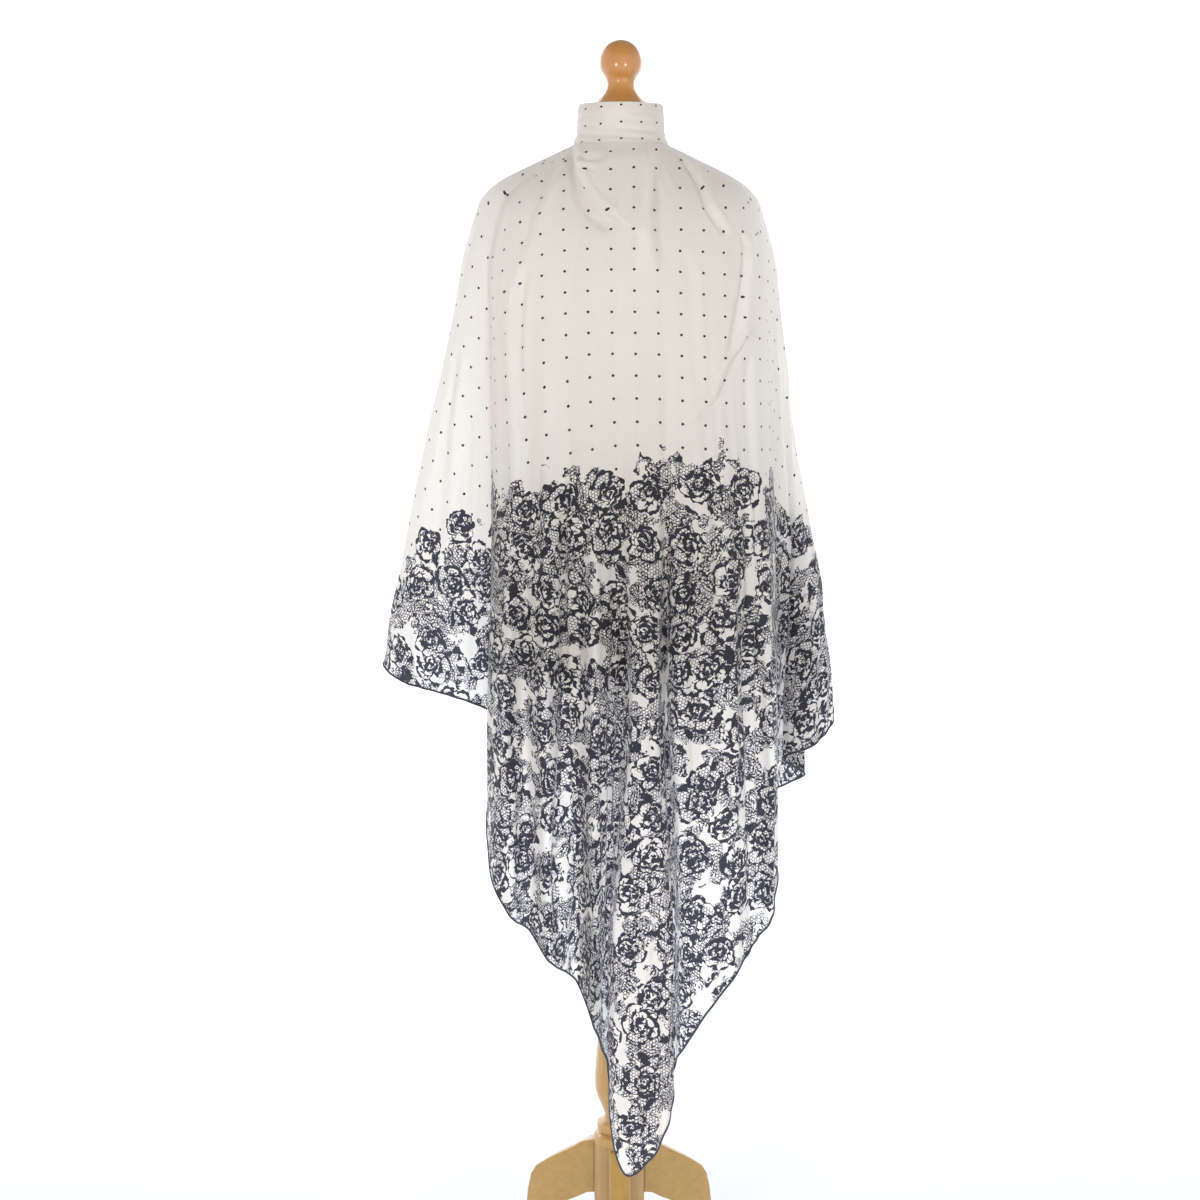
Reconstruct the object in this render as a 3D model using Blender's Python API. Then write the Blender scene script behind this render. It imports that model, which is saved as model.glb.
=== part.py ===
"""A square silk scarf worn on the diagonal over a limbless dress form on a turned wooden stand.

Metres, +Z up, the front faces -Y. The origin is on the floor under the middle of the whole object.
Lengths in the tables are millimetres from the stand's own axis.
"""

import math
from collections import namedtuple

import bmesh
import bpy
import numpy as np

MM = 0.001

# Driving sizes of the stand and the form
AXIS_X = 0.0142
AXIS_Y = 0.0022
HUB_TOP = 0.186
HUB_BOTTOM = 0.098
HUB_RADIUS = 0.035
HUB_FLAT = 0.0325
HUB_STEP = math.radians(12)
LEG_THICK = 0.028
LEG_ANGLES = {"front": -90, "right": 30, "left": 150}
BALL_RADIUS = 0.0285
BALL_HEIGHT = 1.652
TURNED_SIDES = 22
SEAM_GAP = 0.0003

# Driving sizes of the scarf
WALL = 0.0016
NECK_HEIGHT = 1.5475
NECK_RADIUS = 0.0595
NECK_LAP = 0.0070
LAP_FROM, LAP_TO = 140, 175
COWL_DEPTH = 0.009
SIDE_SLOPE, FRONT_SLOPE = 0.47, 0.90
SHOULDER_POWER = 9

# Heights at which each fold's place is given
HEIGHTS = (1.40, 1.10, 0.80, 0.50)

# One row for each ridge, valley or edge of the cloth, from the left flap's edge round the front to the
# right flap's. neck is degrees round the neck from the front, chest, waist, hip and low are x and y at
# the heights above, and hem is the hem's height.
Fold = namedtuple("Fold", "name neck chest waist hip low hem")
FOLDS = (
    Fold("back left edge", -203, (45, 119), (20, 126), (0, 130), (0, 130), 1395),
    Fold("back left lap", -186, (5, 124), (-30, 134), (-60, 140), (-60, 140), 1330),
    Fold("back left", -168, (-45, 124), (-84, 138), (-110, 146), (-110, 146), 1190),
    Fold("back left hollow", -150, (-97, 114), (-134, 124), (-165, 126), (-165, 126), 1040),
    Fold("left corner", -130, (-152, 94), (-196, 110), (-232, 116), (-232, 116), 900),
    Fold("left back side", -112, (-190, 58), (-244, 68), (-286, 74), (-286, 74), 872),
    Fold("left silhouette", -95, (-210, 14), (-274, 18), (-327, 20), (-327, 20), 858),
    Fold("left wing ridge", -86, (-205, -14), (-255, -14), (-296, -14), (-296, -14), 838),
    Fold("left wing hollow", -79, (-194, -28), (-228, -22), (-254, -12), (-254, -12), 825),
    Fold("left wing face", -72, (-182, -36), (-196, -32), (-205, -16), (-205, -16), 811),
    Fold("left crease", -66, (-172, -40), (-170, -38), (-165, -8), (-165, -20), 784),
    Fold("left side", -58, (-165, -62), (-168, -68), (-174, -44), (-174, -62), 705),
    Fold("left corner of front", -50, (-150, -87), (-158, -104), (-173, -92), (-174, -104), 600),
    Fold("left ridge", -42, (-127, -104), (-136, -128), (-149, -134), (-144, -138), 548),
    Fold("left shallow valley", -37, (-111, -108), (-119, -128), (-126, -116), (-120, -112), 522),
    Fold("second ridge", -31, (-93, -114), (-99, -142), (-98, -150), (-93, -148), 490),
    Fold("second valley", -23, (-70, -116), (-72, -138), (-66, -114), (-58, -98), 447),
    Fold("third ridge", -14, (-41, -121), (-37, -151), (-33, -154), (-36, -147), 403),
    Fold("middle valley", -5, (-7, -121), (-1, -143), (0, -114), (-16, -90), 318),
    Fold("tail's left side", 1, (5, -122), (10, -149), (14, -150), (-8, -134), 226),
    Fold("tail's corner", 6, (16, -122), (22, -153), (25, -155), (10, -144), 193),
    Fold("tail's face", 11, (30, -122), (36, -152), (38, -153), (42, -143), 218),
    Fold("tail's right side", 15, (43, -121), (48, -149), (49, -147), (66, -130), 268),
    Fold("right valley", 19, (54, -119), (57, -142), (59, -114), (71, -96), 322),
    Fold("fourth ridge", 24, (69, -118), (70, -149), (72, -149), (83, -137), 365),
    Fold("broad face", 33, (97, -113), (101, -149), (106, -153), (112, -148), 418),
    Fold("broad face edge", 42, (128, -102), (138, -136), (146, -142), (149, -140), 466),
    Fold("last valley", 49, (152, -88), (167, -112), (174, -108), (181, -106), 508),
    Fold("right ridge", 54, (166, -79), (183, -101), (196, -116), (200, -116), 540),
    Fold("right side", 60, (182, -60), (198, -68), (207, -74), (208, -76), 612),
    Fold("right crease", 67, (190, -42), (202, -36), (204, -26), (204, -26), 684),
    Fold("under layer", 73, (194, -33), (207, -21), (222, 6), (222, 6), 690),
    Fold("under layer turn", 77, (198, -23), (215, -7), (244, 12), (244, 12), 699),
    Fold("under layer lip", 80, (200, -15), (222, 1), (249, 1), (249, 1), 708),
    Fold("right wing turn", 84, (202, -8), (228, -8), (221, -14), (221, -14), 730),
    Fold("right wing fold", 87, (204, -2), (233, -12), (225, -27), (225, -27), 740),
    Fold("right wing face", 91, (205, 5), (241, -6), (257, -26), (257, -26), 752),
    Fold("right silhouette", 96, (206, 14), (247, 16), (291, 16), (291, 16), 786),
    Fold("right back side", 112, (188, 64), (232, 76), (268, 80), (268, 80), 808),
    Fold("back right ridge", 130, (148, 100), (180, 116), (204, 128), (204, 128), 842),
    Fold("back right hollow", 148, (100, 124), (122, 136), (138, 134), (138, 134), 868),
    Fold("back right", 166, (48, 135), (62, 152), (70, 164), (70, 164), 896),
    Fold("back middle", 184, (0, 139), (4, 154), (4, 158), (4, 158), 925),
    Fold("back right lap", 200, (-44, 138), (-36, 154), (-30, 160), (-30, 160), 1085),
    Fold("back right edge", 216, (-86, 134), (-72, 148), (-60, 156), (-60, 156), 1330),
)

# Where one stretch of the scarf ends and the next begins, by the fold's name
STRETCHES = {
    "scarf_back_left": ("back left edge", "left silhouette"),
    "scarf_fall_left": ("left silhouette", "left crease"),
    "scarf_front": ("left crease", "right crease"),
    "scarf_fall_right": ("right crease", "right silhouette"),
    "scarf_back_right": ("right silhouette", "back right edge"),
}
STEPS_PER_FOLD = {
    "scarf_back_left": 3,
    "scarf_fall_left": 3,
    "scarf_front": 4,
    "scarf_fall_right": 3,
    "scarf_back_right": 3,
}
# The measure down the cloth is 0 at the neck, 1 at the chest and 2 at the hem
CHEST, HEM = 1.0, 2.0
SHOULDER_ROWS = 6
FALL_ROWS = 11
SEAM_ABOVE, SEAM_BELOW = 0.0005, 0.0003

# Rings of the band round the neck: height and outer radius
BandRing = namedtuple("BandRing", "height radius")
BAND = (
    BandRing(1547.8, 61.0),
    BandRing(1553, 59.4),
    BandRing(1560, 57.6),
    BandRing(1570, 57.0),
    BandRing(1584, 56.4),
    BandRing(1594, 55.4),
    BandRing(1597.6, 54.6),
)
BAND_SIDES = 36

# Rings of the form: height, half width, front depth and back depth.
# power is 2 for an oval and more for a squarer ring.
TorsoRing = namedtuple("TorsoRing", "height side front back power")
TORSO = (
    TorsoRing(846, 142, 98, 90, 2.15),
    TorsoRing(850, 154, 110, 101, 2.15),
    TorsoRing(862, 159, 116, 106, 2.15),
    TorsoRing(920, 160, 115, 107, 2.15),
    TorsoRing(1010, 154, 108, 102, 2.15),
    TorsoRing(1100, 147, 102, 97, 2.15),
    TorsoRing(1180, 149, 110, 97, 2.15),
    TorsoRing(1260, 154, 121, 99, 2.15),
    TorsoRing(1310, 157, 121, 101, 2.15),
    TorsoRing(1370, 160, 106, 102, 2.15),
    TorsoRing(1430, 164, 88, 98, 2.15),
    TorsoRing(1470, 165, 76, 88, 2.15),
    TorsoRing(1489, 154, 63, 76, 2.05),
    TorsoRing(1504, 128, 57, 69, 2.05),
    TorsoRing(1515, 104, 55.5, 63, 2.0),
    TorsoRing(1527, 80, 55, 58, 2.0),
    TorsoRing(1539, 61, 54.8, 56, 2.0),
    TorsoRing(1550, 55.2, 54.8, 55.0, 2.0),
    TorsoRing(1584, 54.2, 54.2, 54.2, 2.0),
    TorsoRing(1588, 51, 51, 51, 2.0),
)
TORSO_SIDES = 32

# Turned profiles: radius and height
Turn = namedtuple("Turn", "radius height")
FINIAL_FOOT = (
    Turn(0, 1588.3),
    Turn(47, 1588.3),
    Turn(47, 1591),
    Turn(41, 1596),
    Turn(31, 1603),
    Turn(23.5, 1611),
    Turn(19, 1619),
    Turn(18, 1624),
    Turn(18.8, 1628.5),
)
POLE = (
    Turn(0, 186.3),
    Turn(36, 186.3),
    Turn(37, 190),
    Turn(34, 197),
    Turn(28, 200),
    Turn(30, 202),
    Turn(31, 208),
    Turn(30, 214),
    Turn(27, 216),
    Turn(21, 219),
    Turn(20, 224),
    Turn(25, 238),
    Turn(31, 252),
    Turn(34, 268),
    Turn(34, 284),
    Turn(31.5, 315),
    Turn(28.5, 350),
    Turn(25, 420),
    Turn(22.5, 520),
    Turn(21.5, 640),
    Turn(22, 760),
    Turn(25, 800),
    Turn(30, 806),
    Turn(30, 812),
    Turn(24, 818),
    Turn(26, 830),
    Turn(48, 837),
    Turn(50, 845.7),
    Turn(0, 845.7),
)

# A leg's outline from the side, once round from the top of the joint: distance from the axis and height
LegCorner = namedtuple("LegCorner", "reach height")
LEG = (
    LegCorner(32.8, 183),
    LegCorner(42, 181),
    LegCorner(54, 177),
    LegCorner(66, 168),
    LegCorner(80, 159),
    LegCorner(98, 148),
    LegCorner(116, 136),
    LegCorner(129, 126),
    LegCorner(137, 113),
    LegCorner(142, 92),
    LegCorner(146, 60),
    LegCorner(151, 32),
    LegCorner(160, 8),
    LegCorner(166, 0),
    LegCorner(122, 0),
    LegCorner(119, 12),
    LegCorner(114, 34),
    LegCorner(106, 54),
    LegCorner(94, 72),
    LegCorner(78, 84),
    LegCorner(60, 94),
    LegCorner(46, 103),
    LegCorner(32.8, 106),
)


def clear_scene():
    for item in list(bpy.data.objects):
        bpy.data.objects.remove(item, do_unlink=True)


def finish(name, colour, roughness):
    """A plain Principled material."""
    material = bpy.data.materials.new(name)
    material.use_nodes = True
    shader = material.node_tree.nodes["Principled BSDF"]
    shader.inputs["Base Color"].default_value = (*colour, 1)
    shader.inputs["Roughness"].default_value = roughness
    shader.inputs["Metallic"].default_value = 0
    return material


def add_object(name, points, faces, material):
    """One closed body with its faces outward, moved to the stand's axis and shaded smooth."""
    mesh = bpy.data.meshes.new(name)
    placed = [(x + AXIS_X, y + AXIS_Y, z) for x, y, z in points]
    mesh.from_pydata(placed, [], faces)
    shaped = bmesh.new()
    shaped.from_mesh(mesh)
    bmesh.ops.recalc_face_normals(shaped, faces=shaped.faces)
    shaped.to_mesh(mesh)
    shaped.free()
    mesh.shade_smooth()
    mesh.set_sharp_from_angle(angle=math.radians(40))
    mesh.materials.append(material)
    item = bpy.data.objects.new(name, mesh)
    bpy.context.collection.objects.link(item)
    return item


def eased(share):
    """A soft step from 0 to 1."""
    share = np.clip(share, 0, 1)
    return share * share * (3 - 2 * share)


# The cloth

FOLD_NUMBER = {fold.name: number for number, fold in enumerate(FOLDS)}
FOLD_PLACES = np.array([(f.chest, f.waist, f.hip, f.low) for f in FOLDS], float) * MM
FOLD_NECKS = np.radians([f.neck for f in FOLDS])
FOLD_HEMS = np.array([f.hem for f in FOLDS], float) * MM


def steady_slopes(values):
    """Slopes for evenly spaced values that never overshoot between two of them."""
    steps = np.diff(values)
    slopes = np.zeros_like(values)
    before, after = steps[:-1], steps[1:]
    same_way = before * after > 0
    total = np.where(same_way, before + after, 1)
    slopes[1:-1] = np.where(same_way, 2 * before * after / total, 0)
    slopes[0], slopes[-1] = steps[0], steps[-1]
    return slopes


def steady(values, place):
    """The value at a place between folds, on a curve through each fold's own value."""
    slopes = steady_slopes(values)
    start = np.clip(np.floor(place).astype(int), 0, len(values) - 2)
    share = place - start
    rise = values[start + 1] - values[start]
    bend_in = slopes[start] - rise
    bend_out = slopes[start + 1] - rise
    return values[start] + share * rise + share * (1 - share) * (
        (1 - share) * bend_in - share * bend_out
    )


def fold_place(number, height):
    """Where a fold stands at a height: a smooth curve through its four given places."""
    number = np.clip(number, 0, len(FOLDS) - 1)
    spacing = HEIGHTS[0] - HEIGHTS[1]
    level = np.clip((HEIGHTS[0] - height) / spacing, 0, len(HEIGHTS) - 1)
    start = np.clip(np.floor(level).astype(int), 0, len(HEIGHTS) - 2)
    share = (level - start)[:, None]
    last = len(HEIGHTS) - 1
    here = FOLD_PLACES[number, start]
    there = FOLD_PLACES[number, start + 1]
    slope_in = (there - FOLD_PLACES[number, np.maximum(start - 1, 0)]) / 2
    slope_out = (FOLD_PLACES[number, np.minimum(start + 2, last)] - here) / 2
    squared, cubed = share**2, share**3
    return (
        here * (2 * cubed - 3 * squared + 1)
        + there * (3 * squared - 2 * cubed)
        + slope_in * (cubed - 2 * squared + share)
        + slope_out * (cubed - squared)
    )


def drape_place(place, height):
    """The cloth's x and y at a height, on a centripetal curve through the folds."""
    start = np.clip(np.floor(place).astype(int), 0, len(FOLDS) - 2)
    share = (place - start)[:, None]
    before, here, there, after = (fold_place(start + step, height) for step in (-1, 0, 1, 2))
    before = np.where((start == 0)[:, None], 2 * here - there, before)
    after = np.where((start == len(FOLDS) - 2)[:, None], 2 * there - here, after)

    def root_gap(a, b):
        return np.sqrt(np.maximum(np.linalg.norm(b - a, axis=1), 1e-6))[:, None]

    first, second, third = root_gap(before, here), root_gap(here, there), root_gap(there, after)
    slope_in = (here - before) / first - (there - before) / (first + second) + (there - here) / second
    slope_out = (there - here) / second - (after - here) / (second + third) + (after - there) / third
    slope_in, slope_out = slope_in * second, slope_out * second
    squared, cubed = share**2, share**3
    return (
        here * (2 * cubed - 3 * squared + 1)
        + there * (3 * squared - 2 * cubed)
        + slope_in * (cubed - 2 * squared + share)
        + slope_out * (cubed - squared)
    )


def cowl_rise(x, height):
    """How far the pouch below the neck band stands out: its left edge is steep and its right one soft."""
    drop = np.clip((1.545 - height) / 0.109, 0, 1.4)
    left_edge = -0.063 + 0.069 * drop**2.2
    right_edge = 0.052
    inside = eased((x - left_edge) / 0.012) * eased((right_edge - x) / 0.022)
    return COWL_DEPTH * inside * eased((height - 1.405) / 0.035) * eased((1.552 - height) / 0.022)


def cloth_point(place, measure):
    """The outer face of the cloth: place runs round it by fold, measure runs down it from the neck."""
    place = np.asarray(place, float).ravel()
    measure = np.asarray(measure, float).ravel()
    angle = steady(FOLD_NECKS, place)
    hem = steady(FOLD_HEMS, place)
    fall = np.maximum(measure - CHEST, 0)
    height = HEIGHTS[0] - (HEIGHTS[0] - hem) * fall
    ground = drape_place(place, height)
    lap = NECK_LAP * eased((np.degrees(angle) - LAP_FROM) / (LAP_TO - LAP_FROM))
    neck = np.stack([np.sin(angle), -np.cos(angle)], 1) * (NECK_RADIUS + lap)[:, None]
    share = np.minimum(measure, CHEST)
    ground = neck + (ground - neck) * share[:, None]
    straight = SIDE_SLOPE + (FRONT_SLOPE - SIDE_SLOPE) * np.cos(angle) ** 2
    dropped = straight * share + (1 - straight) * share**SHOULDER_POWER
    height = np.where(
        measure < CHEST, NECK_HEIGHT - (NECK_HEIGHT - HEIGHTS[0]) * dropped, height
    )
    in_front = np.cos(angle) > 0.2
    ground[:, 1] -= np.where(in_front, cowl_rise(ground[:, 0], height), 0)
    return np.column_stack([ground, height])


def outward(place, measure):
    """The cloth's outward normal and its way across, from points a small step either side."""
    step = 0.01
    across = cloth_point(place + step, measure) - cloth_point(place - step, measure)
    above = np.maximum(measure - step, 0)
    down = cloth_point(place, measure + step) - cloth_point(place, above)
    normal = np.cross(down, across)
    return (
        normal / np.linalg.norm(normal, axis=1, keepdims=True),
        across / np.linalg.norm(across, axis=1, keepdims=True),
    )


def stretch(name, places, measures, material):
    """One stretch of the scarf: its outer face, an inner face WALL behind it, and its four edges."""
    around, along = np.meshgrid(places, measures, indexing="ij")
    columns, rows = around.shape
    outer = cloth_point(around, along)
    normal, across = outward(around.ravel(), along.ravel())
    outer[:rows] += across[:rows] * SEAM_GAP / 2
    outer[-rows:] -= across[-rows:] * SEAM_GAP / 2
    points = np.concatenate([outer, outer - normal * WALL])
    inner = columns * rows
    faces = []
    for i in range(columns - 1):
        for j in range(rows - 1):
            a, b = i * rows + j, (i + 1) * rows + j
            faces += [(a, a + 1, b + 1), (a, b + 1, b)]
            faces += [(inner + a, inner + b + 1, inner + a + 1)]
            faces += [(inner + a, inner + b, inner + b + 1)]
    last = (columns - 1) * rows
    edges = (
        [i * rows for i in range(columns)],
        [last + j for j in range(rows)],
        [i * rows + rows - 1 for i in range(columns)][::-1],
        list(range(rows))[::-1],
    )
    for line in edges:
        for a, b in zip(line, line[1:]):
            faces += [(a, b, inner + b), (a, inner + b, inner + a)]
    return add_object(name, points, faces, material)


def neck_band(material):
    """The band wound round the neck, a tube open at both ends whose rim is rounded over."""
    angles = np.linspace(0, math.tau, BAND_SIDES, endpoint=False)
    outer = [(ring.radius * MM, ring.height * MM) for ring in BAND]
    inner = [(radius - WALL, height) for radius, height in outer]
    rim = ((outer[-1][0] + inner[-1][0]) / 2, outer[-1][1] + WALL / 2)
    section = outer + [rim] + inner[::-1]
    points = [(r * math.sin(a), -r * math.cos(a), z) for a in angles for r, z in section]
    count = len(section)
    faces = []
    for i in range(BAND_SIDES):
        for j in range(count):
            here, there = i * count, (i + 1) % BAND_SIDES * count
            faces.append((here + j, there + j, there + (j + 1) % count, here + (j + 1) % count))
    return add_object("scarf_neck_band", points, faces, material)


def scarf(material):
    shoulder = CHEST * (1 - (1 - np.linspace(0, 1, SHOULDER_ROWS + 1)) ** 1.5)
    fall = np.linspace(CHEST, HEM, FALL_ROWS + 1)
    for name, (first, last) in STRETCHES.items():
        begin, end = FOLD_NUMBER[first], FOLD_NUMBER[last]
        places = np.linspace(begin, end, (end - begin) * STEPS_PER_FOLD[name] + 1)
        if name == "scarf_front":
            stretch("scarf_cowl", places, [*shoulder[:-1], CHEST - SEAM_ABOVE], material)
            stretch(name, places, [CHEST + SEAM_BELOW, *fall[1:]], material)
        else:
            stretch(name, places, [*shoulder[:-1], *fall], material)
    neck_band(material)


# The form and its stand


def ring_points(side, front, back, height, power):
    """A rounded ring, its front deeper or shallower than its back."""
    points = []
    for step in range(TORSO_SIDES):
        angle = math.tau * step / TORSO_SIDES
        x = math.copysign(abs(math.sin(angle)) ** (2 / power), math.sin(angle)) * side
        depth = front if math.cos(angle) > 0 else back
        y = -math.copysign(abs(math.cos(angle)) ** (2 / power), math.cos(angle)) * depth
        points.append((x, y, height))
    return points


def torso(material):
    """A smooth, closed general figure, from the neck's flat top to the flat underside."""
    points = []
    for ring in TORSO:
        sizes = [size * MM for size in (ring.side, ring.front, ring.back, ring.height)]
        points += ring_points(*sizes, ring.power)
    faces = []
    for i in range(len(TORSO) - 1):
        for j in range(TORSO_SIDES):
            a, b = i * TORSO_SIDES + j, i * TORSO_SIDES + (j + 1) % TORSO_SIDES
            faces.append((a, b, b + TORSO_SIDES, a + TORSO_SIDES))
    top = (len(TORSO) - 1) * TORSO_SIDES
    faces.append(tuple(range(TORSO_SIDES))[::-1])
    faces.append(tuple(range(top, top + TORSO_SIDES)))
    return add_object("form_torso", points, faces, material)


def turned(name, profile, material):
    """A solid of revolution about the stand's axis, closed at both ends of its profile."""
    points, rings = [], []
    for radius, height in profile:
        if radius == 0:
            rings.append([len(points)])
            points.append((0, 0, height))
            continue
        rings.append(list(range(len(points), len(points) + TURNED_SIDES)))
        for step in range(TURNED_SIDES):
            angle = math.tau * step / TURNED_SIDES
            points.append((radius * math.cos(angle), radius * math.sin(angle), height))
    faces = []
    for low, high in zip(rings, rings[1:]):
        for j in range(TURNED_SIDES):
            k = (j + 1) % TURNED_SIDES
            if len(low) == 1:
                faces.append((low[0], high[k], high[j]))
            elif len(high) == 1:
                faces.append((low[j], low[k], high[0]))
            else:
                faces.append((low[j], low[k], high[k], high[j]))
    return add_object(name, points, faces, material)


def finial(material):
    """The neck's cap and its ball, turned in one piece."""
    profile = [(t.radius * MM, t.height * MM) for t in FINIAL_FOOT]
    lowest = math.asin(profile[-1][0] / BALL_RADIUS)
    for step in range(1, 12):
        angle = lowest + (math.pi - lowest) * step / 11
        radius = BALL_RADIUS * math.sin(angle) if step < 11 else 0
        profile.append((radius, BALL_HEIGHT - BALL_RADIUS * math.cos(angle)))
    return turned("finial", profile, material)


def pole(material):
    return turned("stand_pole", [(t.radius * MM, t.height * MM) for t in POLE], material)


def hub(material):
    """The block under the pole, round but for a flat for each leg."""
    flats = [math.radians(angle) for angle in LEG_ANGLES.values()]
    corner = math.acos(HUB_FLAT / HUB_RADIUS)
    corners = {round(flat + side * corner, 6) % math.tau for flat in flats for side in (-1, 1)}
    rounds = {
        round(flat + math.pi / 3 + step * HUB_STEP, 6) % math.tau
        for flat in flats
        for step in range(-3, 4)
    }
    angles = sorted(corners | rounds)
    points = []
    for height in (HUB_BOTTOM, HUB_TOP):
        points += [(HUB_RADIUS * math.cos(a), HUB_RADIUS * math.sin(a), height) for a in angles]
    count = len(angles)
    faces = [(j, (j + 1) % count, count + (j + 1) % count, count + j) for j in range(count)]
    faces += [tuple(range(count))[::-1], tuple(range(count, 2 * count))]
    return add_object("stand_hub", points, faces, material)


def leg(name, degrees, material):
    """A flat bracket sawn to a curve, screwed to the hub's flat."""
    turn = math.radians(degrees)
    points = []
    for side in (-0.5, 0.5):
        for corner in LEG:
            reach, aside = corner.reach * MM, side * LEG_THICK
            x = reach * math.cos(turn) - aside * math.sin(turn)
            y = reach * math.sin(turn) + aside * math.cos(turn)
            points.append((x, y, corner.height * MM))
    count = len(LEG)
    faces = [(j, (j + 1) % count, count + (j + 1) % count, count + j) for j in range(count)]
    faces += [tuple(range(count))[::-1], tuple(range(count, 2 * count))]
    return add_object("stand_leg_" + name, points, faces, material)


clear_scene()
SILK = finish("printed silk", (0.80, 0.76, 0.69), 0.45)
LINEN = finish("form cover", (0.75, 0.70, 0.62), 0.85)
AMBER = finish("varnished finial", (0.56, 0.25, 0.06), 0.18)
BEECH = finish("varnished beech", (0.55, 0.34, 0.13), 0.35)
torso(LINEN)
finial(AMBER)
pole(BEECH)
hub(BEECH)
for side_name, leg_angle in LEG_ANGLES.items():
    leg(side_name, leg_angle, BEECH)
scarf(SILK)
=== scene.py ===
"""A printed silk scarf, worn on the diagonal over a covered form on a turned wooden stand.

Metres, +Z up, the front faces -Y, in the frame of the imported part.
Lengths in the tables are millimetres from the stand's own axis, as in the part's source.
"""

import math
from collections import namedtuple
from functools import partial

import bpy
import numpy as np
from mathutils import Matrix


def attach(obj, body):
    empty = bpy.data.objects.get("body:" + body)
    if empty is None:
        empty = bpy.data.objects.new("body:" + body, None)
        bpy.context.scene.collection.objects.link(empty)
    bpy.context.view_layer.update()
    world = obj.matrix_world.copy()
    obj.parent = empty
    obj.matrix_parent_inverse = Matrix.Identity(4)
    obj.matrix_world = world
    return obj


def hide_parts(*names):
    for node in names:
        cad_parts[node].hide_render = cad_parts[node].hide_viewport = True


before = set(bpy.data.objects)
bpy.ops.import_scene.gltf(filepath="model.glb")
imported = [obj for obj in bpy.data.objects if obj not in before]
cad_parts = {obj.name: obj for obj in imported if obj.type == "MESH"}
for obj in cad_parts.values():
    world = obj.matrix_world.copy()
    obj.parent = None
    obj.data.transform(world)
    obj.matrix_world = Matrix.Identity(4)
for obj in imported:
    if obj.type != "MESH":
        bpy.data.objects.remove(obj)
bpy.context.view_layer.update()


# The stand's legs
# Three flat brackets of beech, sawn to a curve and screwed to the hub's flats. Their edges are eased, and the
# grain runs out along each leg under the varnish.

MM = 0.001
# Where the pole stands
AXIS_X, AXIS_Y = 0.0142, 0.0022
LEG_THICK = 28 * MM
LEG_ANGLES = {"front": -90, "right": 30, "left": 150}
LEG_EASE = 2.2 * MM
LEG_COLOURS = ("#C29A52", "#A98343")
# Stations from the hub out to the foot: reach and height of the top edge, then of the under edge
Station = namedtuple("Station", "top_reach top_height under_reach under_height")
LEG = (
    Station(33.0, 183, 33.0, 106),
    Station(42, 181, 46, 103),
    Station(54, 177, 53, 98.5),
    Station(66, 168, 60, 94),
    Station(80, 159, 69, 89),
    Station(98, 148, 78, 84),
    Station(116, 136, 94, 72),
    Station(129, 126, 102, 60),
    Station(137, 113, 106, 54),
    Station(142, 92, 111, 43),
    Station(146, 60, 114, 34),
    Station(151, 32, 119, 12),
    Station(160, 8, 121, 4),
    Station(166, 0, 122, 0),
)


def linear(colour):
    """An sRGB hex colour as linear red, green, blue and alpha."""
    parts = [int(colour[i : i + 2], 16) / 255 for i in (1, 3, 5)]
    return (*[p / 12.92 if p <= 0.04045 else ((p + 0.055) / 1.055) ** 2.4 for p in parts], 1)


def add_node(tree, kind, *values, settings=None, **named):
    """One node with its operation, its inputs in order or by name, and its settings."""
    kind, _, operation = kind.partition(" ")
    made = tree.nodes.new("ShaderNode" + kind)
    if operation:
        made.operation = operation
    for name, value in (settings or {}).items():
        setattr(made, name, value)
    for name, value in [*enumerate(values), *named.items()]:
        socket = made.inputs[name if isinstance(name, int) else name.replace("_", " ")]
        if isinstance(value, bpy.types.Node):
            value = value.outputs[0]
        if isinstance(value, bpy.types.NodeSocket):
            tree.links.new(value, socket)
        elif value is not None:
            socket.default_value = value
    return made


def new_material(name):
    """A material with no nodes, and the function above bound to it."""
    made = bpy.data.materials.new(name)
    made.use_nodes = True
    made.node_tree.nodes.clear()
    return made, partial(add_node, made.node_tree)


def select_nothing():
    if bpy.context.mode != "OBJECT":
        bpy.ops.object.mode_set(mode="OBJECT")
    bpy.ops.object.select_all(action="DESELECT")


def varnished_wood(name, light, dark, stretch, roughness, coat=0.55, coat_roughness=0.12):
    """Beech under clear varnish: long soft grain, short dark flecks and a smooth coat over them."""
    made, node = new_material(name)
    place = node("TexCoord").outputs["Object"]
    grain_place = node("Mapping", Vector=place, Scale=stretch)
    # Beech rings lie 2 to 4 mm apart on a quarter-sawn face
    rings = node(
        "TexNoise", Vector=grain_place, Scale=1.0, Detail=5.0, Roughness=0.55, Distortion=0.4
    )
    # The flecks are 1 to 3 mm long and drawn twice as wide as real ones, so that they show
    flecks = node("TexNoise", Vector=grain_place, Scale=7.0, Detail=2.0)
    spread = node("MapRange", rings, 0.12, 0.88)
    fleck = node("MapRange", flecks, 0.58, 0.75, 0.0, 0.25)
    base = node("MixRGB", spread, linear(dark), linear(light))
    colour = node("MixRGB", fleck, base, linear(dark))
    bump = node("Bump", Strength=0.12, Distance=0.0004, Height=rings)
    shader = node(
        "BsdfPrincipled",
        Base_Color=colour,
        Roughness=roughness,
        IOR=1.5,
        Coat_Weight=coat,
        Coat_Roughness=coat_roughness,
        Coat_IOR=1.6,
        Normal=bump,
    )
    node("OutputMaterial", shader)
    return made


def finish_piece(name, material):
    """Names the active object, gives it its one material and hangs it on the part."""
    piece = bpy.context.object
    piece.name = name
    piece.data.name = name
    piece.data.materials.clear()
    piece.data.materials.append(material)
    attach(piece, "root")
    return piece


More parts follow.
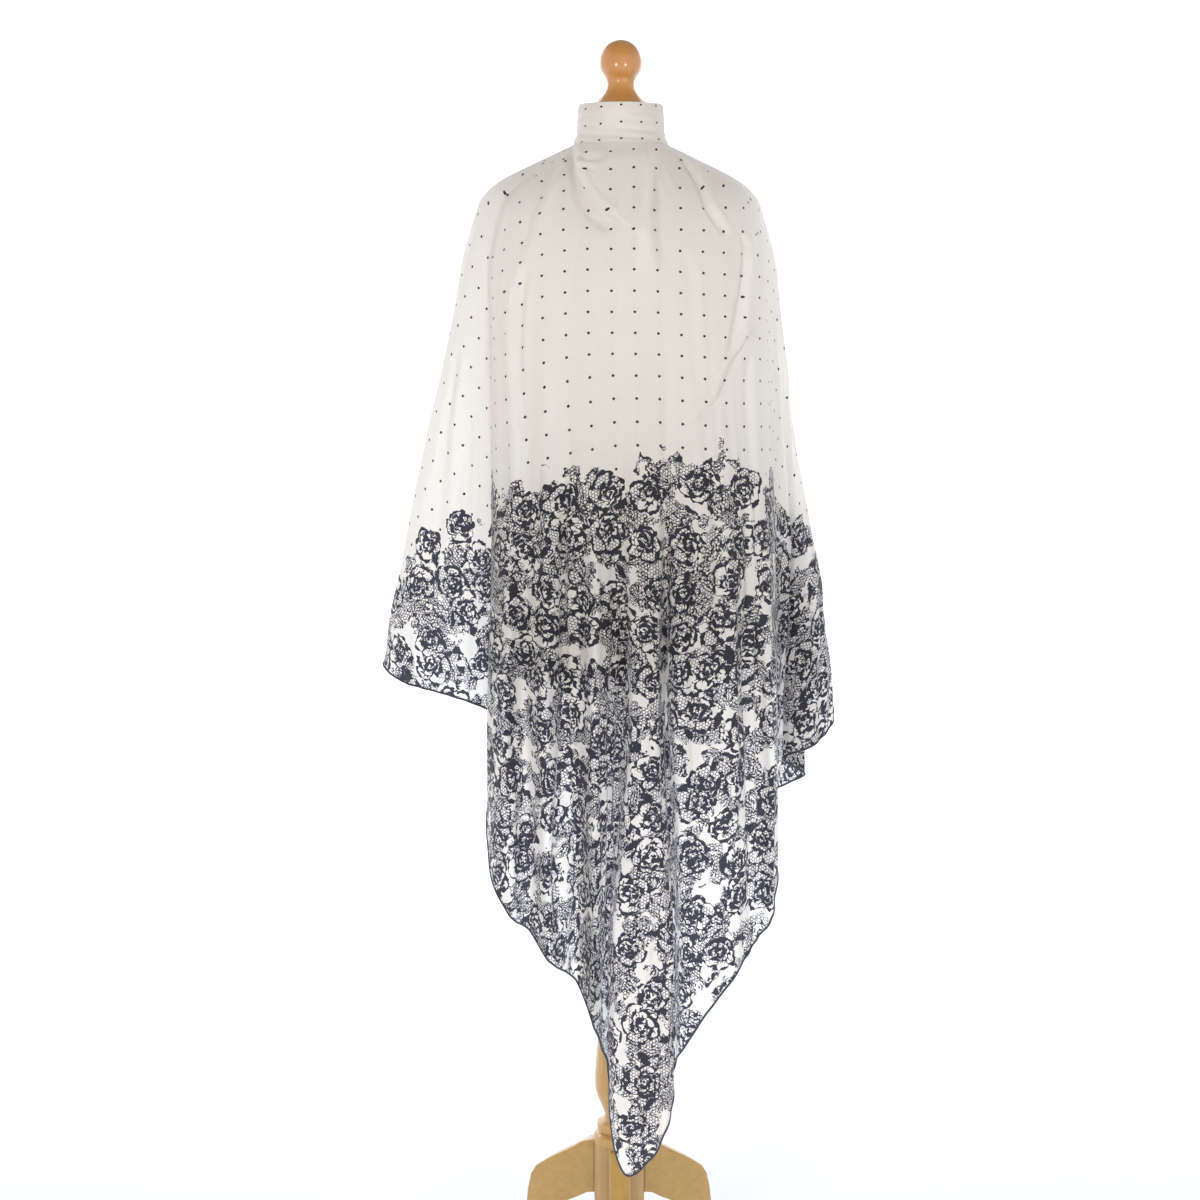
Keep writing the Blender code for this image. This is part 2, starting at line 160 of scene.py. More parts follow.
def bevel_edges(width, segments, sharper_than):
    bevel = bpy.context.object.modifiers.new("eased edges", "BEVEL")
    bevel.width = width
    bevel.segments = segments
    bevel.limit_method = "ANGLE"
    bevel.angle_limit = math.radians(sharper_than)
    bpy.ops.object.modifier_apply(modifier=bevel.name)


def saw_leg(name, degrees):
    """A leg drawn out station by station from the hub's flat, then eased along its edges."""
    select_nothing()
    bpy.ops.mesh.primitive_plane_add(size=1)
    leg = bpy.context.object
    first = LEG[0]
    for corner in leg.data.vertices:
        top = corner.co.y > 0
        reach = first.top_reach if top else first.under_reach
        height = first.top_height if top else first.under_height
        corner.co = (reach * MM, math.copysign(LEG_THICK / 2, corner.co.x), height * MM)
    bpy.ops.object.mode_set(mode="EDIT")
    bpy.ops.mesh.select_all(action="SELECT")
    for station in LEG[1:]:
        bpy.ops.mesh.extrude_region_move()
        bpy.ops.object.mode_set(mode="OBJECT")
        moved = sorted((v for v in leg.data.vertices if v.select), key=lambda v: v.co.z)
        for corner in moved[:2]:
            corner.co.x, corner.co.z = station.under_reach * MM, station.under_height * MM
        for corner in moved[2:]:
            corner.co.x, corner.co.z = station.top_reach * MM, station.top_height * MM
        bpy.ops.object.mode_set(mode="EDIT")
    bpy.ops.mesh.select_all(action="SELECT")
    bpy.ops.mesh.normals_make_consistent(inside=False)
    bpy.ops.object.mode_set(mode="OBJECT")
    bevel_edges(LEG_EASE, 3, 50)
    leg.rotation_euler.z = math.radians(degrees)
    leg.location = (AXIS_X, AXIS_Y, 0)
    bpy.ops.object.transform_apply(location=True, rotation=True, scale=True)
    bpy.ops.object.shade_smooth_by_angle(angle=math.radians(35))
    # The grain runs out along the leg, so the finish's coordinates are stretched that way
    along = math.cos(math.radians(degrees)) ** 2 > 0.5
    stretch = (14, 150, 110) if along else (150, 14, 110)
    wood = varnished_wood("varnished beech, sawn, " + name, *LEG_COLOURS, stretch, 0.42)
    finish_piece("leg_" + name, wood)
    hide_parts("stand_leg_" + name)


for side_name, leg_degrees in LEG_ANGLES.items():
    saw_leg(side_name, leg_degrees)


# The stand's hub and pole
# A turned block with a flat for each leg, and a baluster pole with a ring at its foot and a plate under
# the form. Both are beech, turned on a lathe and varnished, so grain and highlights run up them.

POLE_SIDES = 64
POLE_COLOURS = ("#CCA05A", "#B38848")
HUB_COLOURS = ("#BC9250", "#A27B40")
HUB_SIDES, HUB_FLAT = 72, 32.6 * MM
Turn = namedtuple("Turn", "radius height")
HUB = (Turn(35, 98), Turn(35, 186))
POLE = (
    Turn(36, 186.3),
    Turn(37, 190),
    Turn(34, 197),
    Turn(28, 200),
    Turn(30, 202),
    Turn(31, 208),
    Turn(30, 214),
    Turn(27, 216),
    Turn(21, 219),
    Turn(20, 224),
    Turn(22, 230),
    Turn(25, 238),
    Turn(31, 252),
    Turn(33, 259),
    Turn(34, 268),
    Turn(34, 284),
    Turn(31.5, 315),
    Turn(28.5, 350),
    Turn(25, 420),
    Turn(22.5, 520),
    Turn(21.5, 640),
    Turn(22, 760),
    Turn(25, 800),
    Turn(30, 806),
    Turn(30, 812),
    Turn(24, 818),
    Turn(26, 830),
    Turn(48, 837),
    Turn(50, 845.7),
)


def turn_on_lathe(profile, sides):
    """A solid of revolution drawn up ring by ring from a filled circle, and closed at the top."""
    select_nothing()
    start = profile[0]
    bpy.ops.mesh.primitive_circle_add(
        vertices=sides,
        radius=start.radius * MM,
        fill_type="NGON",
        location=(AXIS_X, AXIS_Y, start.height * MM),
    )
    bpy.ops.object.transform_apply(location=True, rotation=True, scale=True)
    bpy.ops.object.mode_set(mode="EDIT")
    bpy.ops.mesh.select_all(action="SELECT")
    radius, height = start
    for turn in profile[1:]:
        rise = (0, 0, (turn.height - height) * MM)
        bpy.ops.mesh.extrude_region_move(TRANSFORM_OT_translate={"value": rise})
        grow = turn.radius / radius
        bpy.ops.transform.resize(
            value=(grow, grow, 1), center_override=(AXIS_X, AXIS_Y, turn.height * MM)
        )
        radius, height = turn
    bpy.ops.mesh.select_all(action="SELECT")
    bpy.ops.mesh.normals_make_consistent(inside=False)
    bpy.ops.object.mode_set(mode="OBJECT")
    bpy.ops.object.shade_smooth_by_angle(angle=math.radians(38))


turn_on_lathe(HUB, HUB_SIDES)
# Each leg's flat is planed off the round block
for leg_degrees in LEG_ANGLES.values():
    flat_turn = math.radians(leg_degrees)
    away = (math.cos(flat_turn), math.sin(flat_turn), 0)
    bpy.ops.object.mode_set(mode="EDIT")
    bpy.ops.mesh.select_all(action="SELECT")
    bpy.ops.mesh.bisect(
        plane_co=(AXIS_X + away[0] * HUB_FLAT, AXIS_Y + away[1] * HUB_FLAT, 0),
        plane_no=away,
        use_fill=True,
        clear_outer=True,
    )
    bpy.ops.object.mode_set(mode="OBJECT")
bevel_edges(1.2 * MM, 2, 60)
bpy.ops.object.shade_smooth_by_angle(angle=math.radians(30))
hub = finish_piece(
    "hub", varnished_wood("varnished beech, hub", *HUB_COLOURS, (170, 170, 16), 0.4)
)
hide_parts("stand_hub")

turn_on_lathe(POLE, POLE_SIDES)
pole = finish_piece(
    "pole", varnished_wood("varnished beech, turned", *POLE_COLOURS, (170, 170, 14), 0.36)
)
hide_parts("stand_pole")


# The form
# A general figure of moulded foam under a tight cover of cream cotton jersey, closed at neck and underside.
# Only its lower edge and its shade through the silk show, so the cover is plain and quite matt.

FORM_SIDES = 72
FORM_COLOURS = ("#E2D9C8", "#E9E1D2")
FormRing = namedtuple("FormRing", "height side front back power")
FORM = (
    FormRing(846, 142, 98, 90, 2.15),
    FormRing(850, 154, 110, 101, 2.15),
    FormRing(862, 159, 116, 106, 2.15),
    FormRing(920, 160, 115, 107, 2.15),
    FormRing(1010, 154, 108, 102, 2.15),
    FormRing(1100, 147, 102, 97, 2.15),
    FormRing(1180, 149, 110, 97, 2.15),
    FormRing(1260, 154, 121, 99, 2.15),
    FormRing(1310, 157, 121, 101, 2.15),
    FormRing(1370, 160, 106, 102, 2.15),
    FormRing(1430, 164, 88, 98, 2.15),
    FormRing(1470, 165, 76, 88, 2.15),
    FormRing(1489, 154, 63, 76, 2.05),
    FormRing(1504, 128, 57, 69, 2.05),
    FormRing(1515, 104, 55.5, 63, 2.0),
    FormRing(1527, 80, 55, 58, 2.0),
    FormRing(1539, 61, 54.8, 56, 2.0),
    FormRing(1550, 55.2, 54.8, 55.0, 2.0),
    FormRing(1584, 54.2, 54.2, 54.2, 2.0),
    FormRing(1588, 51, 51, 51, 2.0),
)


def tube_faces(rings, sides):
    """The faces of a tube of rings, closed at both ends."""
    faces = []
    for i in range(rings - 1):
        for j in range(sides):
            a, b = i * sides + j, i * sides + (j + 1) % sides
            faces.append((a, b, b + sides, a + sides))
    last = (rings - 1) * sides
    return [*faces, tuple(range(sides))[::-1], tuple(range(last, last + sides))]


def link_object(name, points, faces, flat=None, normals=None):
    """A mesh moved to the stand's axis and made active; flat is the print's place, kept as its UV map."""
    mesh = bpy.data.meshes.new(name)
    shifted = np.asarray(points, float) + (AXIS_X, AXIS_Y, 0)
    mesh.from_pydata(shifted.tolist(), [], faces)
    if flat is not None:
        corners = np.empty(len(mesh.loops), int)
        mesh.loops.foreach_get("vertex_index", corners)
        layer = mesh.uv_layers.new(name="flat cloth")
        layer.uv.foreach_set("vector", np.ascontiguousarray(flat[corners], np.float32).ravel())
    mesh.shade_smooth()
    if normals is not None:
        mesh.normals_split_custom_set_from_vertices(normals.tolist())
    item = bpy.data.objects.new(name, mesh)
    bpy.context.collection.objects.link(item)
    select_nothing()
    item.select_set(True)
    bpy.context.view_layer.objects.active = item


def mould_form():
    """Rings up the figure, each with its own front and back depth."""
    points = []
    for ring in FORM:
        for step in range(FORM_SIDES):
            angle = math.tau * step / FORM_SIDES
            sine, cosine = math.sin(angle), math.cos(angle)
            depth = ring.front if cosine > 0 else ring.back
            x = math.copysign(abs(sine) ** (2 / ring.power), sine) * ring.side
            y = -math.copysign(abs(cosine) ** (2 / ring.power), cosine) * depth
            points.append((x * MM, y * MM, ring.height * MM))
    link_object("form", points, tube_faces(len(FORM), FORM_SIDES))
    bpy.ops.object.mode_set(mode="EDIT")
    bpy.ops.mesh.select_all(action="SELECT")
    bpy.ops.mesh.normals_make_consistent(inside=False)
    bpy.ops.object.mode_set(mode="OBJECT")
    bpy.ops.object.shade_smooth_by_angle(angle=math.radians(50))


def cotton_jersey(name):
    """Knitted cotton, cream and matt; the fine ribs of the knit are only a soft bump."""
    made, node = new_material(name)
    place = node("TexCoord").outputs["Object"]
    # Jersey ribs are 0.6 mm apart; drawn 2 mm apart so that they show at all
    ribs = node("TexWave", Vector=place, Scale=80.0, Distortion=0.6)
    shade = node("TexNoise", Vector=place, Scale=9.0, Detail=3.0)
    colour = node("MixRGB", shade, *map(linear, FORM_COLOURS))
    bump = node("Bump", Strength=0.25, Distance=0.0003, Height=ribs)
    shader = node(
        "BsdfPrincipled",
        Base_Color=colour,
        Roughness=0.85,
        Sheen_Weight=0.2,
        Sheen_Roughness=0.5,
        Normal=bump,
    )
    node("OutputMaterial", shader)
    return made


mould_form()
form = finish_piece("form", cotton_jersey("knitted cotton jersey"))
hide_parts("form_torso")


# The finial
# The neck's cap and its ball, turned from one piece of beech, stained amber and varnished to a high gloss.
# The thick clear coat gives the two small sharp highlights.

FINIAL_COLOURS = ("#C88B43", "#B97B36")
BALL_RADIUS, BALL_HEIGHT = 28.5, 1652.0
BALL_STEPS = 22
FINIAL_FOOT = (
    Turn(47, 1588.3),
    Turn(47, 1591),
    Turn(44.5, 1593.6),
    Turn(41, 1596),
    Turn(35.5, 1599.5),
    Turn(31, 1603),
    Turn(27, 1607),
    Turn(23.5, 1611),
    Turn(20.8, 1615),
    Turn(19, 1619),
    Turn(18, 1624),
    Turn(18.8, 1628.5),
)

lowest = math.asin(FINIAL_FOOT[-1].radius / BALL_RADIUS)
ball = []
for step in range(1, BALL_STEPS):
    angle = lowest + (math.pi - lowest) * step / BALL_STEPS
    ball.append(Turn(BALL_RADIUS * math.sin(angle), BALL_HEIGHT - BALL_RADIUS * math.cos(angle)))
turn_on_lathe((*FINIAL_FOOT, *ball), POLE_SIDES)
finial_wood = varnished_wood(
    "stained beech, glossy", *FINIAL_COLOURS, (90, 90, 14), 0.4, coat=1.0, coat_roughness=0.03
)
finial = finish_piece("finial", finial_wood)
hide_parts("finial")


# The scarf
# One square of printed silk twill, cut about 1.40 m a side and worn on the diagonal.
# It hangs from the neck in five stretches, each an open single sheet that meets the next at a shared fold.

Fold = namedtuple("Fold", "name neck chest waist hip low hem")
# One row for each ridge, valley or edge: neck is degrees round the neck, chest to low are x and y at four
# heights, and hem is the height of the hem there
FOLDS = (
    Fold("back left edge", -203, (45, 119), (20, 126), (0, 130), (0, 130), 1395),
    Fold("back left lap", -186, (5, 124), (-30, 134), (-60, 140), (-60, 140), 1330),
    Fold("back left", -168, (-45, 124), (-84, 138), (-110, 146), (-110, 146), 1190),
    Fold("back left hollow", -150, (-97, 114), (-134, 124), (-165, 126), (-165, 126), 1040),
    Fold("left corner", -130, (-152, 94), (-196, 110), (-232, 116), (-232, 116), 900),
    Fold("left back side", -112, (-190, 58), (-244, 68), (-286, 74), (-286, 74), 872),
    Fold("left silhouette", -95, (-210, 14), (-274, 18), (-327, 20), (-327, 20), 858),
    Fold("left wing ridge", -86, (-205, -14), (-255, -14), (-296, -14), (-296, -14), 838),
    Fold("left wing hollow", -79, (-194, -28), (-228, -22), (-254, -12), (-254, -12), 825),
    Fold("left wing face", -72, (-182, -36), (-196, -32), (-205, -16), (-205, -16), 811),
    Fold("left crease", -66, (-172, -40), (-170, -38), (-165, -8), (-165, -20), 784),
    Fold("left side", -58, (-165, -62), (-168, -68), (-174, -44), (-174, -62), 705),
    Fold("left corner of front", -50, (-150, -87), (-158, -104), (-173, -92), (-174, -104), 600),
    Fold("left ridge", -42, (-127, -104), (-136, -128), (-149, -134), (-144, -138), 548),
    Fold("left shallow valley", -37, (-111, -108), (-119, -128), (-126, -116), (-120, -112), 522),
    Fold("second ridge", -31, (-93, -114), (-99, -142), (-98, -150), (-93, -148), 490),
    Fold("second valley", -23, (-70, -116), (-72, -138), (-66, -114), (-58, -98), 447),
    Fold("third ridge", -14, (-41, -121), (-37, -151), (-33, -154), (-36, -147), 403),
    Fold("middle valley", -5, (-7, -121), (-1, -143), (0, -114), (-16, -90), 318),
    Fold("tail's left side", 1, (5, -122), (10, -149), (14, -150), (-8, -134), 226),
    Fold("tail's corner", 6, (16, -122), (22, -153), (25, -155), (10, -144), 193),
    Fold("tail's face", 11, (30, -122), (36, -152), (38, -153), (42, -143), 218),
    Fold("tail's right side", 15, (43, -121), (48, -149), (49, -147), (66, -130), 268),
    Fold("right valley", 19, (54, -119), (57, -142), (59, -114), (71, -96), 322),
    Fold("fourth ridge", 24, (69, -118), (70, -149), (72, -149), (83, -137), 365),
    Fold("broad face", 33, (97, -113), (101, -149), (106, -153), (112, -148), 418),
    Fold("broad face edge", 42, (128, -102), (138, -136), (146, -142), (149, -140), 466),
    Fold("last valley", 49, (152, -88), (167, -112), (174, -108), (181, -106), 508),
    Fold("right ridge", 54, (166, -79), (183, -101), (196, -116), (200, -116), 540),
    Fold("right side", 60, (182, -60), (198, -68), (207, -74), (208, -76), 612),
    Fold("right crease", 67, (190, -42), (202, -36), (204, -26), (204, -26), 684),
    Fold("under layer", 73, (194, -33), (207, -21), (222, 6), (222, 6), 690),
    Fold("under layer turn", 77, (198, -23), (215, -7), (244, 12), (244, 12), 699),
    Fold("under layer lip", 80, (200, -15), (222, 1), (249, 1), (249, 1), 708),
    Fold("right wing turn", 84, (202, -8), (228, -8), (221, -14), (221, -14), 730),
    Fold("right wing fold", 87, (204, -2), (233, -12), (225, -27), (225, -27), 740),
    Fold("right wing face", 91, (205, 5), (241, -6), (257, -26), (257, -26), 752),
    Fold("right silhouette", 96, (206, 14), (247, 16), (291, 16), (291, 16), 786),
    Fold("right back side", 112, (188, 64), (232, 76), (268, 80), (268, 80), 808),
    Fold("back right ridge", 130, (148, 100), (180, 116), (204, 128), (204, 128), 842),
    Fold("back right hollow", 148, (100, 124), (122, 136), (138, 134), (138, 134), 868),
    Fold("back right", 166, (48, 135), (62, 152), (70, 164), (70, 164), 896),
    Fold("back middle", 184, (0, 139), (4, 154), (4, 158), (4, 158), 925),
    Fold("back right lap", 200, (-44, 138), (-36, 154), (-30, 160), (-30, 160), 1085),
    Fold("back right edge", 216, (-86, 134), (-72, 148), (-60, 156), (-60, 156), 1330),
)

HEIGHTS = (1.40, 1.10, 0.80, 0.50)
NECK_HEIGHT, NECK_RADIUS = 1.5475, 0.0595
# At the back of the neck the right flap lies over the left one
NECK_LAP, LAP_FROM, LAP_TO = 0.0070, 140, 175
SIDE_SLOPE, FRONT_SLOPE, SHOULDER_POWER = 0.47, 0.90, 9
# Measures down the cloth: 0 at the neck, 1 at the chest and 2 at the hem
CHEST, HEM = 1.0, 2.0
ROUND_ABOVE, ROUND_BELOW = 0.16, 0.035

FOLD_NUMBER = {fold.name: number for number, fold in enumerate(FOLDS)}
FOLD_PLACES = np.array([(f.chest, f.waist, f.hip, f.low) for f in FOLDS], float) * MM
FOLD_NECKS = np.radians([f.neck for f in FOLDS])
FOLD_HEMS = np.array([f.hem for f in FOLDS], float) * MM
LAST_FOLD = len(FOLDS) - 1


def eased(share):
    """A soft step from 0 to 1."""
    share = np.clip(share, 0, 1)
    return share * share * (3 - 2 * share)


def steady_slopes(values):
    """Slopes for evenly spaced values that never overshoot between two of them."""
    steps = np.diff(values)
    slopes = np.zeros_like(values)
    before, after = steps[:-1], steps[1:]
    same_way = before * after > 0
    total = np.where(same_way, before + after, 1)
    slopes[1:-1] = np.where(same_way, 2 * before * after / total, 0)
    slopes[0], slopes[-1] = steps[0], steps[-1]
    return slopes


def steady(values, place):
    """The value at a place between folds, on a curve through each fold's own value."""
    slopes = steady_slopes(values)
    start = np.clip(np.floor(place).astype(int), 0, len(values) - 2)
    share = place - start
    rise = values[start + 1] - values[start]
    bend_in = slopes[start] - rise
    bend_out = slopes[start + 1] - rise
    return values[start] + share * rise + share * (1 - share) * (
        (1 - share) * bend_in - share * bend_out
    )


def curve_between(share, here, there, slope_in, slope_out):
    """A smooth curve from one place to the next, which leaves and arrives at the given slopes."""
    squared, cubed = share**2, share**3
    return (
        here * (2 * cubed - 3 * squared + 1)
        + there * (3 * squared - 2 * cubed)
        + slope_in * (cubed - 2 * squared + share)
        + slope_out * (cubed - squared)
    )


def fold_place(number, height):
    """Where a fold stands at a height: a smooth curve through its four given places."""
    number = np.clip(number, 0, len(FOLDS) - 1)
    spacing = HEIGHTS[0] - HEIGHTS[1]
    level = np.clip((HEIGHTS[0] - height) / spacing, 0, len(HEIGHTS) - 1)
    start = np.clip(np.floor(level).astype(int), 0, len(HEIGHTS) - 2)
    share = (level - start)[:, None]
    last = len(HEIGHTS) - 1
    here = FOLD_PLACES[number, start]
    there = FOLD_PLACES[number, start + 1]
    slope_in = (there - FOLD_PLACES[number, np.maximum(start - 1, 0)]) / 2
    slope_out = (FOLD_PLACES[number, np.minimum(start + 2, last)] - here) / 2
    return curve_between(share, here, there, slope_in, slope_out)


def drape_place(place, height):
    """The cloth's x and y at a height, on a centripetal curve through the folds."""
    start = np.clip(np.floor(place).astype(int), 0, len(FOLDS) - 2)
    share = (place - start)[:, None]
    before, here, there, after = (fold_place(start + step, height) for step in (-1, 0, 1, 2))
    before = np.where((start == 0)[:, None], 2 * here - there, before)
    after = np.where((start == len(FOLDS) - 2)[:, None], 2 * there - here, after)

    def root_gap(a, b):
        return np.sqrt(np.maximum(np.linalg.norm(b - a, axis=1), 1e-6))[:, None]

    first, second, third = root_gap(before, here), root_gap(here, there), root_gap(there, after)
    slope_in = (here - before) / first - (there - before) / (first + second) + (there - here) / second
    slope_out = (there - here) / second - (after - here) / (second + third) + (after - there) / third
    return curve_between(share, here, there, slope_in * second, slope_out * second)


# The cowl's left edge sweeps in lower down, its right one hangs straight, and its top slants up to the right
COWL_DEPTH, COWL_SHARE = 0.009, 1.5
COWL_LEFT, COWL_SWEEP, COWL_RIGHT = -0.063, 0.069, 0.052
SWEEP_TOP, SWEEP_FALL = 1.545, 0.109
COWL_TOP, COWL_SLANT, COWL_FOOT = 1.5525, 0.10, 1.405


def cowl_rise(x, height):
    """How far the pouch below the neck band stands out."""
    drop = np.clip((SWEEP_TOP - height) / SWEEP_FALL, 0, 1.4)
    left_edge = COWL_LEFT + COWL_SWEEP * drop**2.2
    inside = eased((x - left_edge) / 0.012) * eased((COWL_RIGHT - x) / 0.022)
    top = COWL_TOP + COWL_SLANT * x
    return COWL_DEPTH * inside * eased((height - COWL_FOOT) / 0.035) * eased((top - height) / 0.028)


def cloth_point(place, measure, pouch=1):
    """The smooth cloth: place runs round it by fold, measure down it, and pouch is the cowl's share."""
    place = np.asarray(place, float).ravel()
    measure = np.asarray(measure, float).ravel()
    angle = steady(FOLD_NECKS, place)
    hem = steady(FOLD_HEMS, place)
    fall = np.maximum(measure - CHEST, 0)
    height = HEIGHTS[0] - (HEIGHTS[0] - hem) * fall
    ground = drape_place(place, height)
    lap = NECK_LAP * eased((np.degrees(angle) - LAP_FROM) / (LAP_TO - LAP_FROM))
    neck = np.stack([np.sin(angle), -np.cos(angle)], 1) * (NECK_RADIUS + lap)[:, None]
    share = np.minimum(measure, CHEST)
    ground = neck + (ground - neck) * share[:, None]
    straight = SIDE_SLOPE + (FRONT_SLOPE - SIDE_SLOPE) * np.cos(angle) ** 2
    dropped = straight * share + (1 - straight) * share**SHOULDER_POWER
    height = np.where(
        measure < CHEST, NECK_HEIGHT - (NECK_HEIGHT - HEIGHTS[0]) * dropped, height
    )
    in_front = np.cos(angle) > 0.2
    ground[:, 1] -= pouch * np.where(in_front, cowl_rise(ground[:, 0], height), 0)
    return np.column_stack([ground, height])


def outward(place, measure, pouch=1, step=0.01):
    """The cloth's outward normal, from points a small step either side."""
    across = cloth_point(place + step, measure, pouch) - cloth_point(place - step, measure, pouch)
    above = np.maximum(measure - step, 0)
    down = cloth_point(place, measure + step, pouch) - cloth_point(place, above, pouch)
    normal = np.cross(down, across)
    return normal / np.linalg.norm(normal, axis=1, keepdims=True), across


def rounded_cloth(place, measure):
    """The smooth cloth with the turn at chest height rounded over."""
    plain = cloth_point(place, measure, COWL_SHARE)
    begin, end = CHEST - ROUND_ABOVE, CHEST + ROUND_BELOW
    share = np.where(
        measure < CHEST,
        (measure - begin) / (2 * ROUND_ABOVE),
        0.5 + (measure - CHEST) / (2 * ROUND_BELOW),
    )
    inside = ((share > 0) & (share < 1))[:, None]
    share = np.clip(share, 0, 1)[:, None]
    above, turn, below = (
        cloth_point(place, np.full(len(place), level), COWL_SHARE) for level in (begin, CHEST, end)
    )
    bow = above * (1 - share) ** 2 + 2 * turn * share * (1 - share) + below * share**2
    return np.where(inside, bow, plain)


# Creases
# Soft troughs and ridges placed along lines of x and z, between the two folds named. depth is how
# far the line is pushed in, lip how far the cloth on its lean side stands out, and width how wide it is.

Crease = namedtuple("Crease", "first last depth lip width lean line")
CREASES = (
    # The cowl's steep left fold, its soft right one, and the small gathers where the collar meets it
    Crease("left side", "middle valley", 10.0, 7.0, 7, 1,
           ((-64, 1546), (-63, 1510), (-54, 1478), (-38, 1456), (-18, 1442), (0, 1436))),
    Crease("left ridge", "third ridge", 5.5, 4.0, 3.6, 1,
           ((-66, 1532), (-48, 1526), (-28, 1527), (-12, 1531))),
    Crease("left ridge", "second valley", 4.6, 3.4, 3.6, 1, ((-60, 1517), (-44, 1512), (-26, 1515))),
    Crease("tail's corner", "fourth ridge", 7.0, 4.8, 7.5, -1,
           ((50, 1546), (47, 1504), (45, 1458), (50, 1422), (58, 1380))),
    Crease("middle valley", "right valley", 2.0, 1.6, 8, -1,
           ((20, 1520), (26, 1490), (30, 1450), (33, 1415))),
    # The drag lines that run down and out from the right of the neck
    Crease("right valley", "right side", 5.2, 4.0, 3.8, 1,
           ((64, 1543), (84, 1520), (99, 1496), (108, 1466), (124, 1442), (140, 1424))),
    Crease("right valley", "broad face", 4.6, 3.4, 3.8, -1,
           ((60, 1544), (66, 1518), (76, 1496), (84, 1484))),
    Crease("broad face edge", "right side", 6.2, 4.2, 5, 1,
           ((150, 1436), (160, 1415), (155, 1360), (146, 1310), (136, 1262))),
    Crease("fourth ridge", "right side", 5.2, 4.0, 3.6, -1,
           ((182, 1318), (160, 1297), (139, 1261), (124, 1224), (84, 1189))),
    Crease("broad face", "right side", 1.6, 1.2, 6, 1,
           ((168, 1290), (160, 1240), (158, 1180), (163, 1120))),
    # Soft folds over the left shoulder and the chest
    Crease("left side", "second ridge", 5.2, 3.8, 8, 1,
           ((-76, 1528), (-98, 1490), (-118, 1452), (-129, 1400))),
    Crease("left side", "second ridge", 2.0, 1.4, 7, -1,
           ((-66, 1532), (-78, 1500), (-84, 1470), (-95, 1430))),
    Crease("second ridge", "middle valley", 1.7, 1.1, 8, 1,
           ((-52, 1440), (-60, 1390), (-62, 1330), (-58, 1270))),
    Crease("third ridge", "tail's corner", 1.4, 1.0, 9, -1,
           ((-10, 1425), (-6, 1370), (-9, 1300), (-4, 1235))),
    Crease("right valley", "broad face", 1.8, 1.2, 9, 1,
           ((76, 1425), (86, 1370), (88, 1310), (96, 1240))),
    Crease("left corner of front", "second ridge", 4.8, 3.2, 7, -1,
           ((-118, 1400), (-128, 1340), (-131, 1270), (-126, 1170))),
    Crease("left corner of front", "left ridge", 5.0, 3.4, 5, 1,
           ((-148, 1390), (-150, 1300), (-147, 1200), (-150, 1080))),
    # Folds that hang free below the chest
    Crease("left ridge", "second valley", 4.0, 2.6, 8, 1,
           ((-104, 1150), (-108, 1060), (-103, 960), (-108, 860))),
    Crease("second valley", "middle valley", 3.6, 2.6, 7, -1,
           ((-52, 1090), (-49, 1000), (-55, 900), (-50, 800))),
    Crease("broad face", "broad face edge", 4.2, 2.8, 8, 1,
           ((118, 1130), (121, 1030), (127, 930), (124, 820), (131, 740))),
    Crease("fourth ridge", "broad face", 4.6, 3.2, 6, -1,
           ((92, 1060), (88, 900), (92, 800), (97, 700), (92, 610))),
    Crease("broad face edge", "right side", 4.6, 3.2, 5, 1,
           ((160, 1100), (164, 980), (161, 860), (166, 740), (160, 640))),
    Crease("second ridge", "third ridge", 6.0, 4.0, 6, 1,
           ((-72, 1130), (-75, 980), (-73, 840), (-79, 690), (-83, 600), (-78, 520))),
    Crease("left corner of front", "left ridge", 2.2, 1.5, 8, -1,
           ((-158, 1000), (-155, 900), (-160, 800), (-157, 700))),
    Crease("tail's face", "tail's right side", 2.4, 1.4, 7, 1,
           ((44, 640), (47, 560), (44, 480), (50, 400))),
    Crease("middle valley", "tail's corner", 2.0, 1.3, 6, -1,
           ((0, 560), (-4, 470), (2, 390), (-3, 310))),
    # The wings
    Crease("right wing fold", "right silhouette", 5.0, 3.6, 5, -1,
           ((219, 900), (219, 841), (218, 786), (217, 731))),
    Crease("right wing fold", "right silhouette", 4.2, 3.0, 7, 1,
           ((226, 1250), (238, 1150), (247, 1040), (252, 930))),
    Crease("left silhouette", "left wing face", 4.8, 3.4, 8, 1,
           ((-214, 1290), (-230, 1180), (-243, 1060), (-262, 930))),
    Crease("left silhouette", "left wing face", 4.0, 2.8, 7, -1,
           ((-196, 1200), (-203, 1100), (-212, 990), (-214, 880))),
    # The back, which hangs as plainly as the front
    Crease("left corner", "back left", 6.5, 4.2, 10, 1,
           ((-120, 1380), (-138, 1280), (-158, 1160), (-176, 1040))),
    Crease("back left", "back left edge", 5.0, 3.4, 8, -1,
           ((-40, 1460), (-62, 1390), (-84, 1300), (-96, 1230))),
    Crease("back right ridge", "back middle", 6.5, 4.2, 9, -1,
           ((84, 1420), (96, 1310), (104, 1180), (98, 1040))),
    Crease("back right", "back right edge", 5.5, 3.8, 7, 1,
           ((28, 1510), (6, 1410), (-6, 1290), (-2, 1150))),
    Crease("back middle", "back right edge", 4.2, 3.0, 6, -1,
           ((-20, 1500), (-38, 1420), (-48, 1340), (-50, 1270))),
    Crease("right back side", "back right hollow", 5.5, 3.8, 8, 1,
           ((176, 1360), (196, 1240), (212, 1110), (220, 980))),
)
CREASE_FADE, LIP_AWAY, LIP_WIDTH = 0.03, 1.9, 1.2
RIPPLE_DEPTH, RIPPLE_GAP = 0.0014, 0.021


